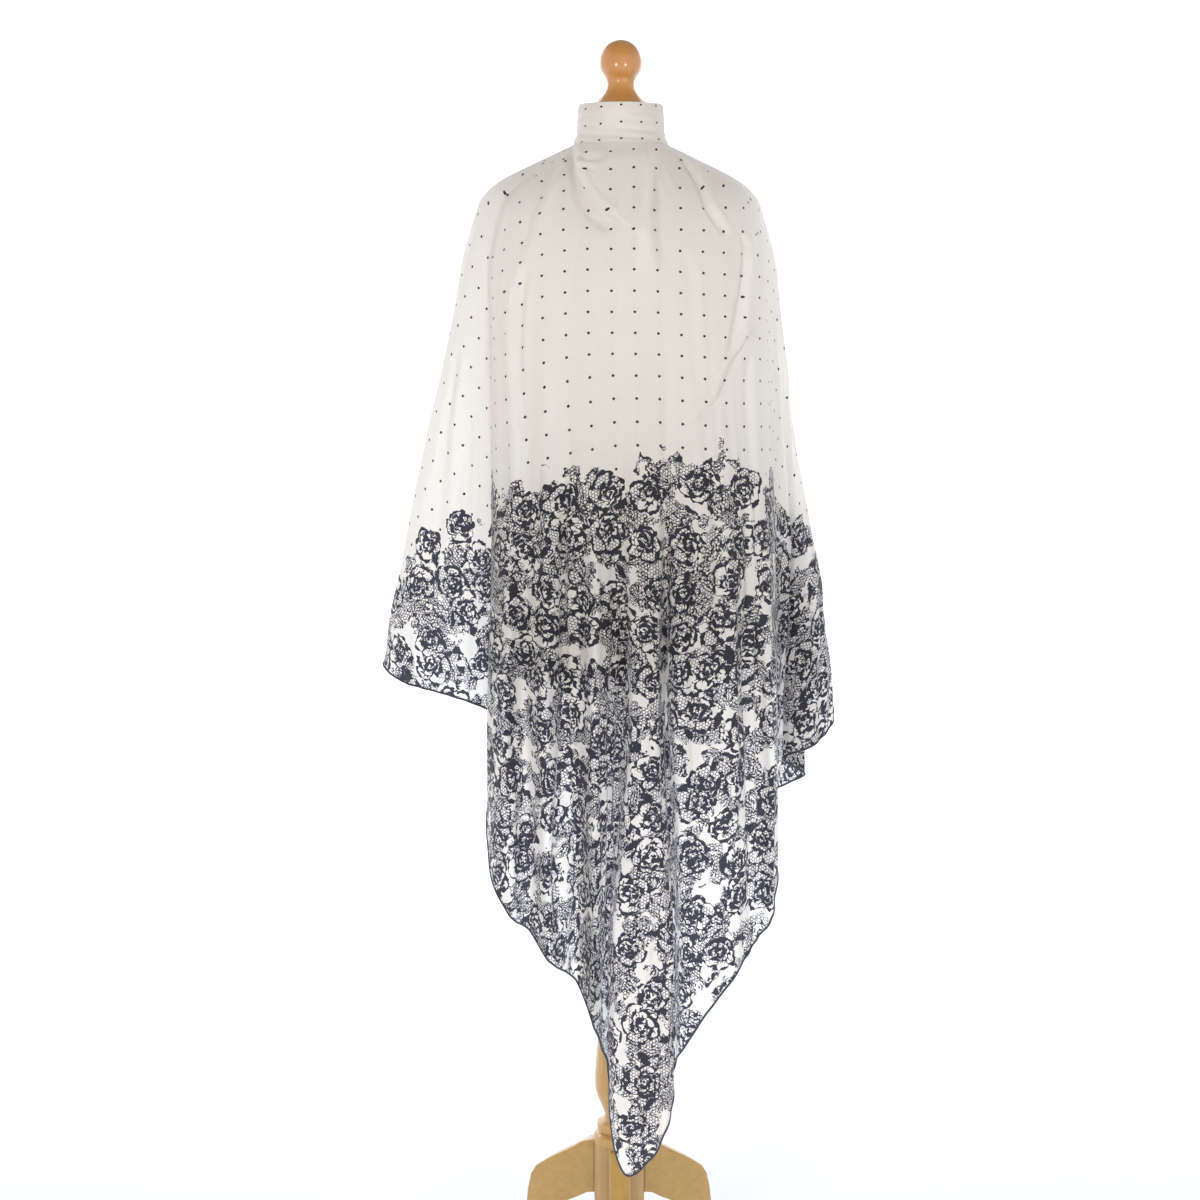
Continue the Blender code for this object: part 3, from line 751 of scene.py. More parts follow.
def line_distance(x, z, line):
    """Signed distance from a line of points, and how far along it the nearest point is, both in metres."""
    nearest = np.full(len(x), 1e9)
    signed = np.zeros(len(x))
    along = np.zeros(len(x))
    run = 0.0
    corners = np.array(line, float) * MM
    for begin, end in zip(corners, corners[1:]):
        span = end - begin
        length = np.hypot(*span)
        share = np.clip(((x - begin[0]) * span[0] + (z - begin[1]) * span[1]) / length**2, 0, 1)
        gap_x, gap_z = x - begin[0] - share * span[0], z - begin[1] - share * span[1]
        gap = np.hypot(gap_x, gap_z)
        side = np.sign(span[0] * gap_z - span[1] * gap_x)
        closer = gap < nearest
        nearest = np.where(closer, gap, nearest)
        signed = np.where(closer, gap * side, signed)
        along = np.where(closer, run + share * length, along)
        run += length
    return signed, along, run


def crease_height(place, points):
    """How far the creases lift or sink each point of the cloth."""
    lift = np.zeros(len(place))
    for crease in CREASES:
        first, last = sorted((FOLD_NUMBER[crease.first], FOLD_NUMBER[crease.last]))
        near = np.flatnonzero((place > first - 0.5) & (place < last + 0.5))
        if not len(near):
            continue
        x, z = points[near, 0], points[near, 2]
        signed, along, run = line_distance(x, z, crease.line)
        width = crease.width * MM * (0.7 + 0.6 * eased(along / run))
        ends = eased(along / CREASE_FADE) * eased((run - along) / CREASE_FADE)
        inside = eased((place[near] - first + 0.5) / 0.5) * eased((last + 0.5 - place[near]) / 0.5)
        trough = -crease.depth * np.exp(-((signed / width) ** 2))
        beside = signed - crease.lean * LIP_AWAY * width
        ridge = crease.lip * np.exp(-((beside / (LIP_WIDTH * width)) ** 2))
        lift[near] += (trough + ridge) * MM * ends * inside
    return lift


def ripple_height(place, points):
    """Faint upright ripples, uneven across and down, as thin silk has where it hangs free."""
    x, z = points[:, 0] + 0.6 * points[:, 1], points[:, 2]
    wander = 0.006 * np.sin(z * 9.1 + x * 3.0) + 0.004 * np.sin(z * 21.0 + x * 17.0)
    wave = np.sin((x + wander) * math.tau / RIPPLE_GAP) * (0.5 + 0.5 * np.sin(x * 33.0 + z * 4.3 + 1.0))
    wave += 0.6 * np.sin((x - wander) * math.tau / (1.73 * RIPPLE_GAP) + 2.0 * np.sin(z * 5.0))
    free = eased((1.46 - z) / 0.3)
    return RIPPLE_DEPTH * wave * free * (0.35 + 0.65 * eased((1.1 - z) / 0.3))


# The print's place
# The flat square's own coordinates, so that dots and lace follow the cloth: x runs across from the tail's
# corner and y up from it. The rows sink towards the sides, as they do on a square worn by its corner.

FRONT_FROM, FRONT_TO = FOLD_NUMBER["left side"], FOLD_NUMBER["right side"] + 0.4
LEFT_WING, RIGHT_WING = FOLD_NUMBER["left crease"], FOLD_NUMBER["right crease"]
TAIL_PLACE = FOLD_NUMBER["tail's corner"]
TIP = FOLDS[TAIL_PLACE].hem * MM
CHEST_HEIGHT = HEIGHTS[0]
LEFT_DROOP, DROOP_START, DROOP_END = 0.041, 0.05, 0.165
RIGHT_DROOP, RIGHT_DROOP_START, RIGHT_DROOP_RUN = 0.011, 0.03, 0.15
CHEST_LEAN, LEAN_FROM = 0.14, 1.26
# The wings' print is turned by about 26 degrees
WING_ACROSS, WING_TURN, WING_DOWN = 1.1, 0.447, 0.916
WING_ANGLE = math.atan2(WING_TURN, WING_DOWN)
RUN_STEPS, RUN_LEVELS, CLIMB_STEPS = 8, 60, 40


def between(table, row, column):
    """A value between the rows and columns of a table."""
    row = np.clip(row, 0, table.shape[0] - 1.001)
    column = np.clip(column, 0, table.shape[1] - 1.001)
    i, j = row.astype(int), column.astype(int)
    u, v = row - i, column - j
    low = table[i, j] * (1 - v) + table[i, j + 1] * v
    return low * (1 - u) + (table[i + 1, j] * (1 - v) + table[i + 1, j + 1] * v) * u


RUN_PLACES = np.linspace(0, LAST_FOLD, LAST_FOLD * RUN_STEPS + 1)
RUN_HEIGHTS = np.linspace(CHEST_HEIGHT, TIP, RUN_LEVELS)
run_lengths = np.empty((RUN_LEVELS, len(RUN_PLACES)))
for level, level_height in enumerate(RUN_HEIGHTS):
    ground = drape_place(RUN_PLACES, np.full(len(RUN_PLACES), level_height))
    steps = np.linalg.norm(np.diff(ground, axis=0), axis=1)
    run = np.concatenate([[0], np.cumsum(steps)])
    run_lengths[level] = run - np.interp(TAIL_PLACE, RUN_PLACES, run)


def run_round(place, height):
    """How far round the cloth a place is from the tail's corner, at a height."""
    level = (CHEST_HEIGHT - height) / (CHEST_HEIGHT - TIP) * (RUN_LEVELS - 1)
    return between(run_lengths, level, place * RUN_STEPS)


def droop(place, height):
    """How far the rows of the print sink towards the sides, from further in lower down."""
    x = steady(FOLD_PLACES[:, 0, 0], np.clip(place, FRONT_FROM, FRONT_TO))
    high = eased((height - 1.2) / 0.15)
    start = DROOP_START * high
    left = np.clip((-x - start) / (DROOP_END - start), 0, 1) ** (1.4 + 0.6 * high)
    right = np.clip((x - RIGHT_DROOP_START) / RIGHT_DROOP_RUN, 0, 1)
    return LEFT_DROOP * left + RIGHT_DROOP * right


def print_rise(height):
    """The print's height at a height of the cloth, which leans out over the chest and so is longer."""
    return height - TIP + CHEST_LEAN * np.maximum(height - LEAN_FROM, 0)


def print_on_fall(place, height):
    """Where on the flat cloth a point of the hanging part lies."""
    flat = np.stack([run_round(place, height), print_rise(height) + droop(place, height)], 1)
    down = CHEST_HEIGHT - height
    for side, wing, front in ((-1, LEFT_WING, FRONT_FROM), (1, RIGHT_WING, FRONT_TO)):
        edge = np.full(len(place), float(front))
        start = side * run_round(edge, np.full(len(place), CHEST_HEIGHT))
        begin = run_round(np.full(len(place), float(wing)), height)
        out = np.maximum(side * (run_round(place, height) - begin), 0)
        top = print_rise(CHEST_HEIGHT) + droop(edge, CHEST_HEIGHT)
        on_wing = np.stack(
            [
                side * (start + WING_ACROSS * out + WING_TURN * down),
                top + WING_TURN * out - WING_DOWN * down,
            ],
            1,
        )
        share = eased((place - front) / (wing - front))[:, None]
        flat = flat * (1 - share) + on_wing * share
    return flat


def print_on_shoulder():
    """A table of the print's place above the chest, climbed in small steps from the chest."""
    places = RUN_PLACES
    angle = np.clip(steady(FOLD_NECKS, places), -1.7, 1.7)
    wing = WING_ANGLE * (
        eased((places - FRONT_TO) / (RIGHT_WING - FRONT_TO))
        - eased((FRONT_FROM - places) / (FRONT_FROM - LEFT_WING))
    )
    measures = np.linspace(1, 0, CLIMB_STEPS + 1)
    flat = [print_on_fall(places, np.full(len(places), CHEST_HEIGHT))]
    for measure, above in zip(measures, measures[1:]):
        middle = np.full(len(places), (measure + above) / 2)
        here, there = (cloth_point(places, np.full(len(places), m), 0) for m in (measure, above))
        step = there - here
        normal = outward(places, middle, 0, 0.06)[0]
        level = np.stack([-normal[:, 1], normal[:, 0], np.zeros(len(places))], 1)
        level /= np.linalg.norm(level, axis=1, keepdims=True)
        uphill = np.cross(normal, level)
        along, up = (step * level).sum(1), (step * uphill).sum(1)
        facing_up = np.clip(normal[:, 2], 0, 1)
        turn = wing * (1 - facing_up) + angle * facing_up
        sine, cosine = np.sin(turn), np.cos(turn)
        up = up * (1 + CHEST_LEAN * eased((1.0 - np.abs(angle)) / 0.4))
        move = np.stack([cosine * along - sine * up, sine * along + cosine * up], 1)
        flat.append(flat[-1] + move)
    return np.array(flat)


shoulder_print = print_on_shoulder()


def print_at_first(place, measure, points):
    """Where on the flat cloth each point of the scarf lies before the print is evened out."""
    on_fall = print_on_fall(place, np.minimum(points[:, 2], CHEST_HEIGHT))
    row, column = (1 - np.clip(measure, 0, 1)) * CLIMB_STEPS, place * RUN_STEPS
    on_shoulder = np.stack([between(shoulder_print[:, :, k], row, column) for k in (0, 1)], 1)
    return np.where((measure < CHEST)[:, None], on_shoulder, on_fall)


SOFTEN_ROUNDS, EVEN_ROUNDS, PULL_PARTS = 30, 160, 10
HOLD_LOW, HOLD_HIGH = 0.08, 0.01
SHOULDER_TABLE_ROWS, FALL_TABLE_ROWS, FOLD_TABLE_COLUMNS = 40, 90, 6
STRAIGHT_CLIMB = 1.06
shoulder_measures = np.linspace(0, CHEST, SHOULDER_TABLE_ROWS + 1)
EVEN_MEASURES = np.concatenate([shoulder_measures[:-1], np.linspace(CHEST, HEM, FALL_TABLE_ROWS)])
EVEN_PLACES = np.linspace(0, LAST_FOLD, LAST_FOLD * FOLD_TABLE_COLUMNS + 1)


def evened_print():
    """A table of the print's place, evened out until each step is as long as it is on the cloth."""
    down, along = np.meshgrid(EVEN_MEASURES, EVEN_PLACES, indexing="ij")
    points = rounded_cloth(along.ravel(), down.ravel())
    first = print_at_first(along.ravel(), down.ravel(), points).reshape(*down.shape, 2)
    points = points.reshape(*down.shape, 3)
    # Over the chest and up to the neck the front's print lies straight: x across, and the way up the cloth
    chest = SHOULDER_TABLE_ROWS
    upper = slice(0, chest + 1)
    rise = np.linalg.norm(np.diff(points[upper, :, 1:], axis=0), axis=2)
    climb = np.zeros((chest + 1, down.shape[1]))
    climb[:-1] = np.cumsum(rise[::-1], axis=0)[::-1]
    tail_x = np.interp(TAIL_PLACE, EVEN_PLACES, points[chest, :, 0])
    straight = np.stack([points[upper, :, 0] - tail_x, first[chest, :, 1] + STRAIGHT_CLIMB * climb], 2)
    in_front = eased((1.25 - np.abs(steady(FOLD_NECKS, EVEN_PLACES))) / 0.35)
    share = (eased((1 - down[upper]) / 0.3) * in_front)[:, :, None]
    first[upper] += share * (straight - first[upper])
    # Columns that crossed while climbing the shoulder are first drawn apart
    soften = np.clip(1 - down, 0, 1)[:, 1:-1, None] / 2
    for _ in range(SOFTEN_ROUNDS):
        first[:, 1:-1] += soften * ((first[:, :-2] + first[:, 2:]) / 2 - first[:, 1:-1])
    hold = (HOLD_LOW * eased((down - CHEST) / 0.12) + HOLD_HIGH)[:, :, None]
    ties = []
    height, width = down.shape
    for rows, columns in ((0, 1), (1, 0), (1, 1), (1, -1)):
        here = (slice(0, height - rows), slice(max(-columns, 0), width - max(columns, 0)))
        there = (slice(rows, None), slice(max(columns, 0), width + min(columns, 0)))
        length = np.linalg.norm(points[there] - points[here], axis=2)[:, :, None]
        ties.append((here, there, length))
    flat = first.copy()
    for _ in range(EVEN_ROUNDS):
        pull = np.zeros_like(flat)
        for here, there, length in ties:
            span = flat[there] - flat[here]
            now = np.maximum(np.linalg.norm(span, axis=2, keepdims=True), 1e-6)
            part = span * (1 - length / now)
            pull[here] += part
            pull[there] -= part
        flat += pull / PULL_PARTS
        flat += hold * (first - flat)
    return flat


even_print = evened_print()


def print_place(place, measure):
    """Where on the flat cloth each point of the scarf lies, in metres from the tail's corner."""
    row = np.interp(measure, EVEN_MEASURES, np.arange(len(EVEN_MEASURES)))
    column = np.interp(place, EVEN_PLACES, np.arange(len(EVEN_PLACES)))
    return np.stack([between(even_print[:, :, k], row, column) for k in (0, 1)], 1)


def sheet_faces(columns, rows, down_first):
    """The faces of an open grid of columns."""
    faces = []
    for i in range(columns - 1):
        for j in range(rows - 1):
            a, b = i * rows + j, (i + 1) * rows + j
            faces.append((a, a + 1, b + 1, b) if down_first else (a, b, b + 1, a + 1))
    return faces


def draped(places, measures):
    """The cloth with its creases on a grid: points, faces, normals and the print's place."""
    around, along = (grid.ravel() for grid in np.meshgrid(places, measures, indexing="ij"))

    def surface(place, measure):
        smooth = rounded_cloth(place, measure)
        normal = outward(place, measure, 1, 0.03)[0]
        return smooth + normal * (crease_height(place, smooth) + ripple_height(place, smooth))[:, None]

    points = surface(around, along)
    step_round, step_down = 0.04, 0.006
    across = surface(around + step_round, along) - surface(around - step_round, along)
    down = surface(around, along + step_down) - surface(around, np.maximum(along - step_down, 0))
    normals = np.cross(down, across)
    normals /= np.linalg.norm(normals, axis=1, keepdims=True)
    flat = print_place(around, along)
    return points, sheet_faces(len(places), len(measures), True), normals, flat


# The printed silk
# Silk twill, soft and glossy, thin enough that light comes through it where nothing hangs behind.
# The print is navy on cream: pin dots on a square lattice, and below them a lace of roses, leaves and net.

SILK_COLOURS, INK_COLOUR, NET_COLOUR = ("#EBE2D5", "#EEE6DB"), "#131319", "#4C4C57"
BACK_COLOUR, BACK_INK, BACK_NET = "#FDFEFE", "#50505D", "#9696A4"
DOT_PITCH, DOT_RADIUS = 29.5, 1.85
LACE_TOP_LOW, LACE_TOP_HIGH, LACE_WAVE = 929.0, 995.0, 70.0
ROSE_PITCH, ROSE_RADIUS = 60.0, 25.0
LEAF_PITCH, LEAF_LENGTH, LEAF_WIDTH = 21.0, 14.0, 5.6
BLOOM_PITCH, BLOOM_RADIUS = 25.0, 8.5
NET_PITCH, PEN = 4.4, 2.0
FLAT_NOISE = {"noise_dimensions": "2D"}


def scattered(node, flat, pitch, scatter):
    """Motifs scattered over the cloth: the way from the nearest centre, its random numbers and itself."""
    cell = node(
        "TexVoronoi",
        Vector=flat,
        Scale=1 / pitch,
        Randomness=scatter,
        settings={"voronoi_dimensions": "2D"},
    )
    centre = cell.outputs["Position"]
    away = node("VectorMath SUBTRACT", flat, centre)
    random = node("SeparateColor", cell.outputs["Color"])
    spin = node("Math MULTIPLY", random.outputs[0], math.tau)
    turned = node("VectorRotate", Vector=away, Angle=spin, settings={"rotation_type": "Z_AXIS"})
    return turned, random, centre


def round_place(node, away, radius, twist):
    """How far out a point is, as a share of the radius, and its angle, turned a little further out."""
    length = node("VectorMath LENGTH", away).outputs["Value"]
    reach = node("Math DIVIDE", length, radius)
    flat = node("SeparateXYZ", away)
    turn = node("Math ARCTAN2", flat.outputs[1], flat.outputs[0])
    return reach, node("Math MULTIPLY_ADD", reach, twist, turn)


def ring_of_petals(node, reach, turn, petals, phase, size, bulge, line):
    """A scalloped ring: its outline, its inside, the lines between petals and the way to its edge."""
    angle = node("Math MULTIPLY_ADD", turn, petals / 2, phase)
    cosine = node("Math COSINE", angle)
    lobe = node("Math ABSOLUTE", cosine)
    rounded = node("Math POWER", lobe, 0.55)
    edge = node("Math MULTIPLY_ADD", rounded, bulge, size)
    gap = node("Math SUBTRACT", reach, edge)
    near = node("Math ABSOLUTE", gap)
    outline = node("Math LESS_THAN", near, line)
    inside = node("Math LESS_THAN", gap, 0.0)
    between_petals = node("Math LESS_THAN", lobe, 0.13)
    return outline, inside, between_petals, gap


def lace_top(node, across):
    """The height of the lace's wavy top line at a place across the cloth."""
    wave = node("Math DIVIDE", across, LACE_WAVE)
    wave = node("TexNoise", W=wave, Scale=1.0, settings={"noise_dimensions": "1D"})
    return node("MapRange", wave, 0.3, 0.7, LACE_TOP_LOW, LACE_TOP_HIGH)


def printed_silk(name):
    """Twill printed on its face; each mask below is 1 where its ink lies and 0 elsewhere."""
    made, node = new_material(name)
    uv = node("UVMap", settings={"uv_map": "flat cloth"})
    flat = node("VectorMath SCALE", uv, Scale=1000.0)

    # The pen's wobble: two noises bend the whole drawing, one by the motif and one by the stroke
    bends = [flat]
    for scale, detail, reach in ((0.035, 0.0, 9.0), (0.16, 1.0, 5.0)):
        wobble = node("TexNoise", Vector=flat, Scale=scale, Detail=detail, settings=FLAT_NOISE)
        wobble = node("VectorMath SUBTRACT", wobble.outputs["Color"], (0.5, 0.5, 0.5))
        wobble = node("VectorMath SCALE", wobble, Scale=reach)
        bends.append(node("VectorMath ADD", bends[-1], wobble))
    _, bent, drawn = bends
    pressure = node("TexNoise", Vector=flat, Scale=0.11, Detail=0.0, settings=FLAT_NOISE)
    pen = node("MapRange", pressure, 0.35, 0.65, 0.35 * PEN, 1.5 * PEN)

    # Whole roses stand below the lace's wavy top line, which is read at each rose's own centre
    rose_way, rose_random, rose_centre = scattered(node, drawn, ROSE_PITCH, 0.62)
    centre_place = node("SeparateXYZ", rose_centre)
    top_line = lace_top(node, centre_place.outputs[0])
    rose_here = node("Math LESS_THAN", centre_place.outputs[1], top_line)
    small, large = 0.86 * ROSE_RADIUS, 1.14 * ROSE_RADIUS
    rose_size = node("MapRange", rose_random.outputs[1], 0.0, 1.0, small, large)
    reach, turn = round_place(node, rose_way, rose_size, 0.45)
    rose_pen = node("Math DIVIDE", pen, rose_size)
    outer, in_rose, outer_gaps, _ = ring_of_petals(node, reach, turn, 5, 0.0, 0.72, 0.26, rose_pen)
    heart_way = node("VectorMath ADD", rose_way, (3.5, -2.0, 0.0))
    heart_reach, heart_turn = round_place(node, heart_way, rose_size, 0.9)
    second, in_second, second_gaps, second_gap = ring_of_petals(
        node, heart_reach, heart_turn, 5, 1.3, 0.42, 0.17, rose_pen
    )
    third, in_third, _, third_gap = ring_of_petals(
        node, heart_reach, heart_turn, 3, 0.7, 0.20, 0.12, rose_pen
    )
    # Short strokes run out from each ring into the petals outside it
    hatch_angle = node("Math MULTIPLY", heart_turn, 13.0)
    hatch = node("Math SINE", hatch_angle)
    hatch_length = node("MapRange", hatch, 0.0, 1.0, 0.0, 0.20)
    hatched = node("Math LESS_THAN", second_gap, hatch_length)
    not_second = node("Math SUBTRACT", 1.0, in_second)
    hatched = node("Math MULTIPLY", hatched, not_second)
    inner_hatch = node("Math LESS_THAN", third_gap, hatch_length)
    speck = node("TexNoise", Vector=flat, Scale=0.20, Detail=1.0, settings=FLAT_NOISE)
    dark_heart = node("Math LESS_THAN", speck, 0.49)
    near_heart = node("Math LESS_THAN", heart_reach, 0.42)
    near_heart = node("Math MAXIMUM", near_heart, inner_hatch)
    heart = node("Math MULTIPLY", near_heart, dark_heart)
    between_outer = node("Math MULTIPLY", outer_gaps, not_second)
    not_third = node("Math SUBTRACT", 1.0, in_third)
    between_second = node("Math MULTIPLY", second_gaps, in_second)
    between_second = node("Math MULTIPLY", between_second, not_third)
    rose = outer
    for part in (second, third, hatched, heart, between_outer, between_second):
        rose = node("Math MAXIMUM", rose, part)
    rose_cover = node("Math MAXIMUM", in_rose, outer)
    rose_cover = node("Math MULTIPLY", rose_cover, rose_here)
    rose = node("Math MULTIPLY", rose, rose_cover)

    # Serrated leaves lie anyhow between the roses, some of them solid and some outlined with veins
    leaf_way, leaf_random, _ = scattered(node, drawn, LEAF_PITCH, 0.9)
    leaf = node("SeparateXYZ", leaf_way)
    leaf_along = node("Math DIVIDE", leaf.outputs[0], LEAF_LENGTH)
    leaf_side = node("Math ABSOLUTE", leaf.outputs[1])
    swell = node("Math MULTIPLY", leaf_along, leaf_along)
    swell = node("Math SUBTRACT", 1.0, swell)
    teeth = node("Math MULTIPLY_ADD", leaf.outputs[0], 1 / 3.4, 20.0)
    teeth = node("Math FRACT", teeth)
    teeth = node("Math MULTIPLY_ADD", teeth, 0.45, 0.72)
    leaf_edge = node("Math MULTIPLY", swell, teeth)
    leaf_edge = node("Math MULTIPLY", leaf_edge, LEAF_WIDTH)
    leaf_gap = node("Math SUBTRACT", leaf_side, leaf_edge)
    in_leaf = node("Math LESS_THAN", leaf_gap, 0.0)
    leaf_rim = node("Math GREATER_THAN", leaf_gap, -2.0)
    leaf_vein = node("Math LESS_THAN", leaf_side, 0.7)
    solid = node("Math GREATER_THAN", leaf_random.outputs[1], 0.70)
    cream_vein = node("Math SUBTRACT", 1.0, leaf_vein)
    solid = node("Math MULTIPLY", solid, cream_vein)
    open_leaf = node("Math MAXIMUM", leaf_rim, leaf_vein)
    leaf_ink = node("Math MAXIMUM", open_leaf, solid)
    leaf_ink = node("Math MULTIPLY", leaf_ink, in_leaf)

    # Small five-petalled flowers fill in
    bloom_way, bloom_random, _ = scattered(node, drawn, BLOOM_PITCH, 0.8)
    bloom_reach, bloom_turn = round_place(node, bloom_way, BLOOM_RADIUS, 0.0)
    bloom_line, in_bloom, bloom_gaps, _ = ring_of_petals(
        node, bloom_reach, bloom_turn, 5, 0.0, 0.45, 0.50, 0.16
    )
    eye = node("Math LESS_THAN", bloom_reach, 0.22)
    spokes = node("Math MULTIPLY", bloom_gaps, in_bloom)
    bloom = node("Math MAXIMUM", bloom_line, eye)
    bloom = node("Math MAXIMUM", bloom, spokes)
    bloom_cover = node("Math MAXIMUM", in_bloom, bloom_line)
    bloom_here = node("Math GREATER_THAN", bloom_random.outputs[2], 0.20)
    bloom_cover = node("Math MULTIPLY", bloom_cover, bloom_here)

    # Stems and scrolls are the level lines of a soft noise; they come and go with its slope
    scroll = node("TexNoise", Vector=drawn, Scale=0.050, Detail=1.0, settings=FLAT_NOISE)
    scroll_bands = node("Math PINGPONG", scroll, 0.055)
    scroll_line = node("Math LESS_THAN", scroll_bands, 0.0140)

    # The ground is hexagon net, with bare cream places whose edges are jagged. Real net of this kind has
    # holes of about 2 mm; it is drawn with 4.4 mm ones so that it shows
    ground = node("TexNoise", Vector=bent, Scale=0.026, Detail=2.0, Roughness=0.65, settings=FLAT_NOISE)
    netted = node("Math LESS_THAN", ground, 0.53)
    planted = node("Math LESS_THAN", ground, 0.575)
    waves = None
    for degrees in (0, 60, 120):
        way = (math.cos(math.radians(degrees)), math.sin(math.radians(degrees)), 0)
        run_out = node("VectorMath DOT_PRODUCT", flat, way).outputs["Value"]
        run_out = node("Math MULTIPLY", run_out, math.tau / (NET_PITCH * 0.866))
        wave = node("Math COSINE", run_out)
        waves = wave if waves is None else node("Math ADD", waves, wave)
    net = node("Math LESS_THAN", waves, -0.80)
    net = node("Math MULTIPLY", net, netted)

    # The lace ends at the wavy line, a little below the highest roses
    here = node("SeparateXYZ", drawn)
    ground_top = lace_top(node, here.outputs[0])
    ragged = node("TexNoise", Vector=flat, Scale=0.06, Detail=1.0, settings=FLAT_NOISE)
    ragged = node("Math MULTIPLY_ADD", ragged, 40.0, -30.0)
    ground_top = node("Math ADD", ground_top, ragged)
    in_ground = node("Math LESS_THAN", here.outputs[1], ground_top)

    # Roses cover leaves, leaves cover flowers, and flowers cover scrolls and net
    with_bloom = node("Mix", bloom_cover, None, scroll_line, bloom)
    with_leaf = node("Mix", in_leaf, None, with_bloom, leaf_ink)
    lace = node("Math MULTIPLY", with_leaf, in_ground)
    lace = node("Math MULTIPLY", lace, planted)
    with_rose = node("Mix", rose_cover, None, lace, rose)
    covered = node("Math MAXIMUM", in_ground, rose_cover)
    net = node("Math MULTIPLY", net, covered)

    # Pin dots, nearly 4 mm across on a 29.5 mm square lattice, stop where the lace begins
    lattice = node("VectorMath SCALE", flat, Scale=1 / DOT_PITCH)
    lattice = node("VectorMath ADD", lattice, (200.5, 200.5, 0.0))
    lattice = node("VectorMath FRACTION", lattice)
    lattice = node("VectorMath SUBTRACT", lattice, (0.5, 0.5, 0.0))
    from_dot = node("VectorMath LENGTH", lattice).outputs["Value"]
    dots = node("Math LESS_THAN", from_dot, DOT_RADIUS / DOT_PITCH)
    clear_cloth = node("Math SUBTRACT", 1.0, covered)
    dots = node("Math MULTIPLY", dots, clear_cloth)
    full_ink = node("Math MAXIMUM", with_rose, dots)

    shade = node("TexNoise", Vector=flat, Scale=0.004, Detail=0.0, settings=FLAT_NOISE)
    cream = node("MixRGB", shade, *map(linear, SILK_COLOURS))
    netting = node("MixRGB", net, cream, linear(NET_COLOUR))
    colour = node("MixRGB", full_ink, netting, linear(INK_COLOUR))

    # Silk twill has ribs 0.3 mm apart; drawn 1.6 mm apart and very low, so that the gloss breaks softly
    ribs = node("TexWave", Vector=flat, Scale=0.2, settings={"bands_direction": "DIAGONAL"})
    bump = node("Bump", Strength=0.06, Distance=0.0002, Height=ribs)
    face = node(
        "BsdfPrincipled",
        Base_Color=colour,
        Roughness=0.5,
        IOR=1.5,
        Sheen_Weight=0.25,
        Sheen_Roughness=0.4,
        Normal=bump,
    )
    # Light that has come through the silk is whiter, and turns the ink from near black to slate grey
    back_netting = node("MixRGB", net, linear(BACK_COLOUR), linear(BACK_NET))
    back_colour = node("MixRGB", full_ink, back_netting, linear(BACK_INK))
    through = node("BsdfTranslucent", Color=back_colour)
    glow = node("MixShader", 0.52, face, through)
    node("OutputMaterial", glow)
    return made


silk = printed_silk("printed silk twill")


# The rolled hem
# The cut edge is rolled in and sewn down by hand, so it is a thin round edge of the same silk.
# It is printed navy, and its tiny stitches break the colour.

HEM_RADIUS, HEM_SIDES = 1.5 * MM, 8
HEM_COLOURS = ("#23232E", "#4A4A57")


def rolled_silk(name):
    """Silk rolled on itself: the navy print, broken by the tiny stitches every 5 mm."""
    made, node = new_material(name)
    place = node("TexCoord").outputs["Object"]
    stitches = node("TexNoise", Vector=place, Scale=220.0, Detail=1.0)
    colour = node("MixRGB", stitches, *map(linear, HEM_COLOURS))
    bump = node("Bump", Strength=0.4, Distance=0.0005, Height=stitches)
    shader = node(
        "BsdfPrincipled", Base_Color=colour, Roughness=0.55, Sheen_Weight=0.2, Normal=bump
    )
    node("OutputMaterial", shader)
    return made


hem_silk = rolled_silk("hand-rolled silk edge")


def roll_hem(name, line):
    """A round edge laid along a line of points, closed at both ends."""
    line = np.asarray(line)
    ahead = np.gradient(line, axis=0)
    ahead /= np.linalg.norm(ahead, axis=1, keepdims=True)
    side = np.cross(ahead, (0.0, 1.0, 0.0))
    short = np.linalg.norm(side, axis=1, keepdims=True)
    side = np.where(short > 0.05, side / np.maximum(short, 1e-6), (1.0, 0.0, 0.0))
    other = np.cross(side, ahead)
    points = []
    for centre, first, second in zip(line, side, other):
        for step in range(HEM_SIDES):
            angle = math.tau * step / HEM_SIDES
            points.append(centre + HEM_RADIUS * (math.cos(angle) * first + math.sin(angle) * second))
    link_object(name, points, tube_faces(len(line), HEM_SIDES))
    return finish_piece(name, hem_silk)


# The five stretches
# Each is one part of the same square, from one fold of the drape to another. It hangs open and unlined over
# the form, with the length of rolled hem that edges it.

Stretch = namedtuple("Stretch", "name first last nodes")
STRETCHES = (
    Stretch("back_left", "back left edge", "left silhouette", ["scarf_back_left"]),
    Stretch("fall_left", "left silhouette", "left crease", ["scarf_fall_left"]),
    # The front goes up over the chest in one with the cowl
    Stretch("front", "left crease", "right crease", ["scarf_front", "scarf_cowl"]),
    Stretch("fall_right", "right crease", "right silhouette", ["scarf_fall_right"]),
    Stretch("back_right", "right silhouette", "back right edge", ["scarf_back_right"]),
)
COLUMNS_PER_FOLD = 14
# Rows are crowded towards the neck and the chest, where the cloth turns
SHOULDER_ROWS, SHOULDER_CROWDING = 52, 1.3
FALL_ROWS, FALL_CROWDING = 200, 1.25

top_rows = CHEST * (1 - (1 - np.linspace(0, 1, SHOULDER_ROWS + 1)[:-1]) ** SHOULDER_CROWDING)
fall_rows = CHEST + (HEM - CHEST) * np.linspace(0, 1, FALL_ROWS + 1) ** FALL_CROWDING
SHEET_ROWS = np.concatenate([top_rows, fall_rows])


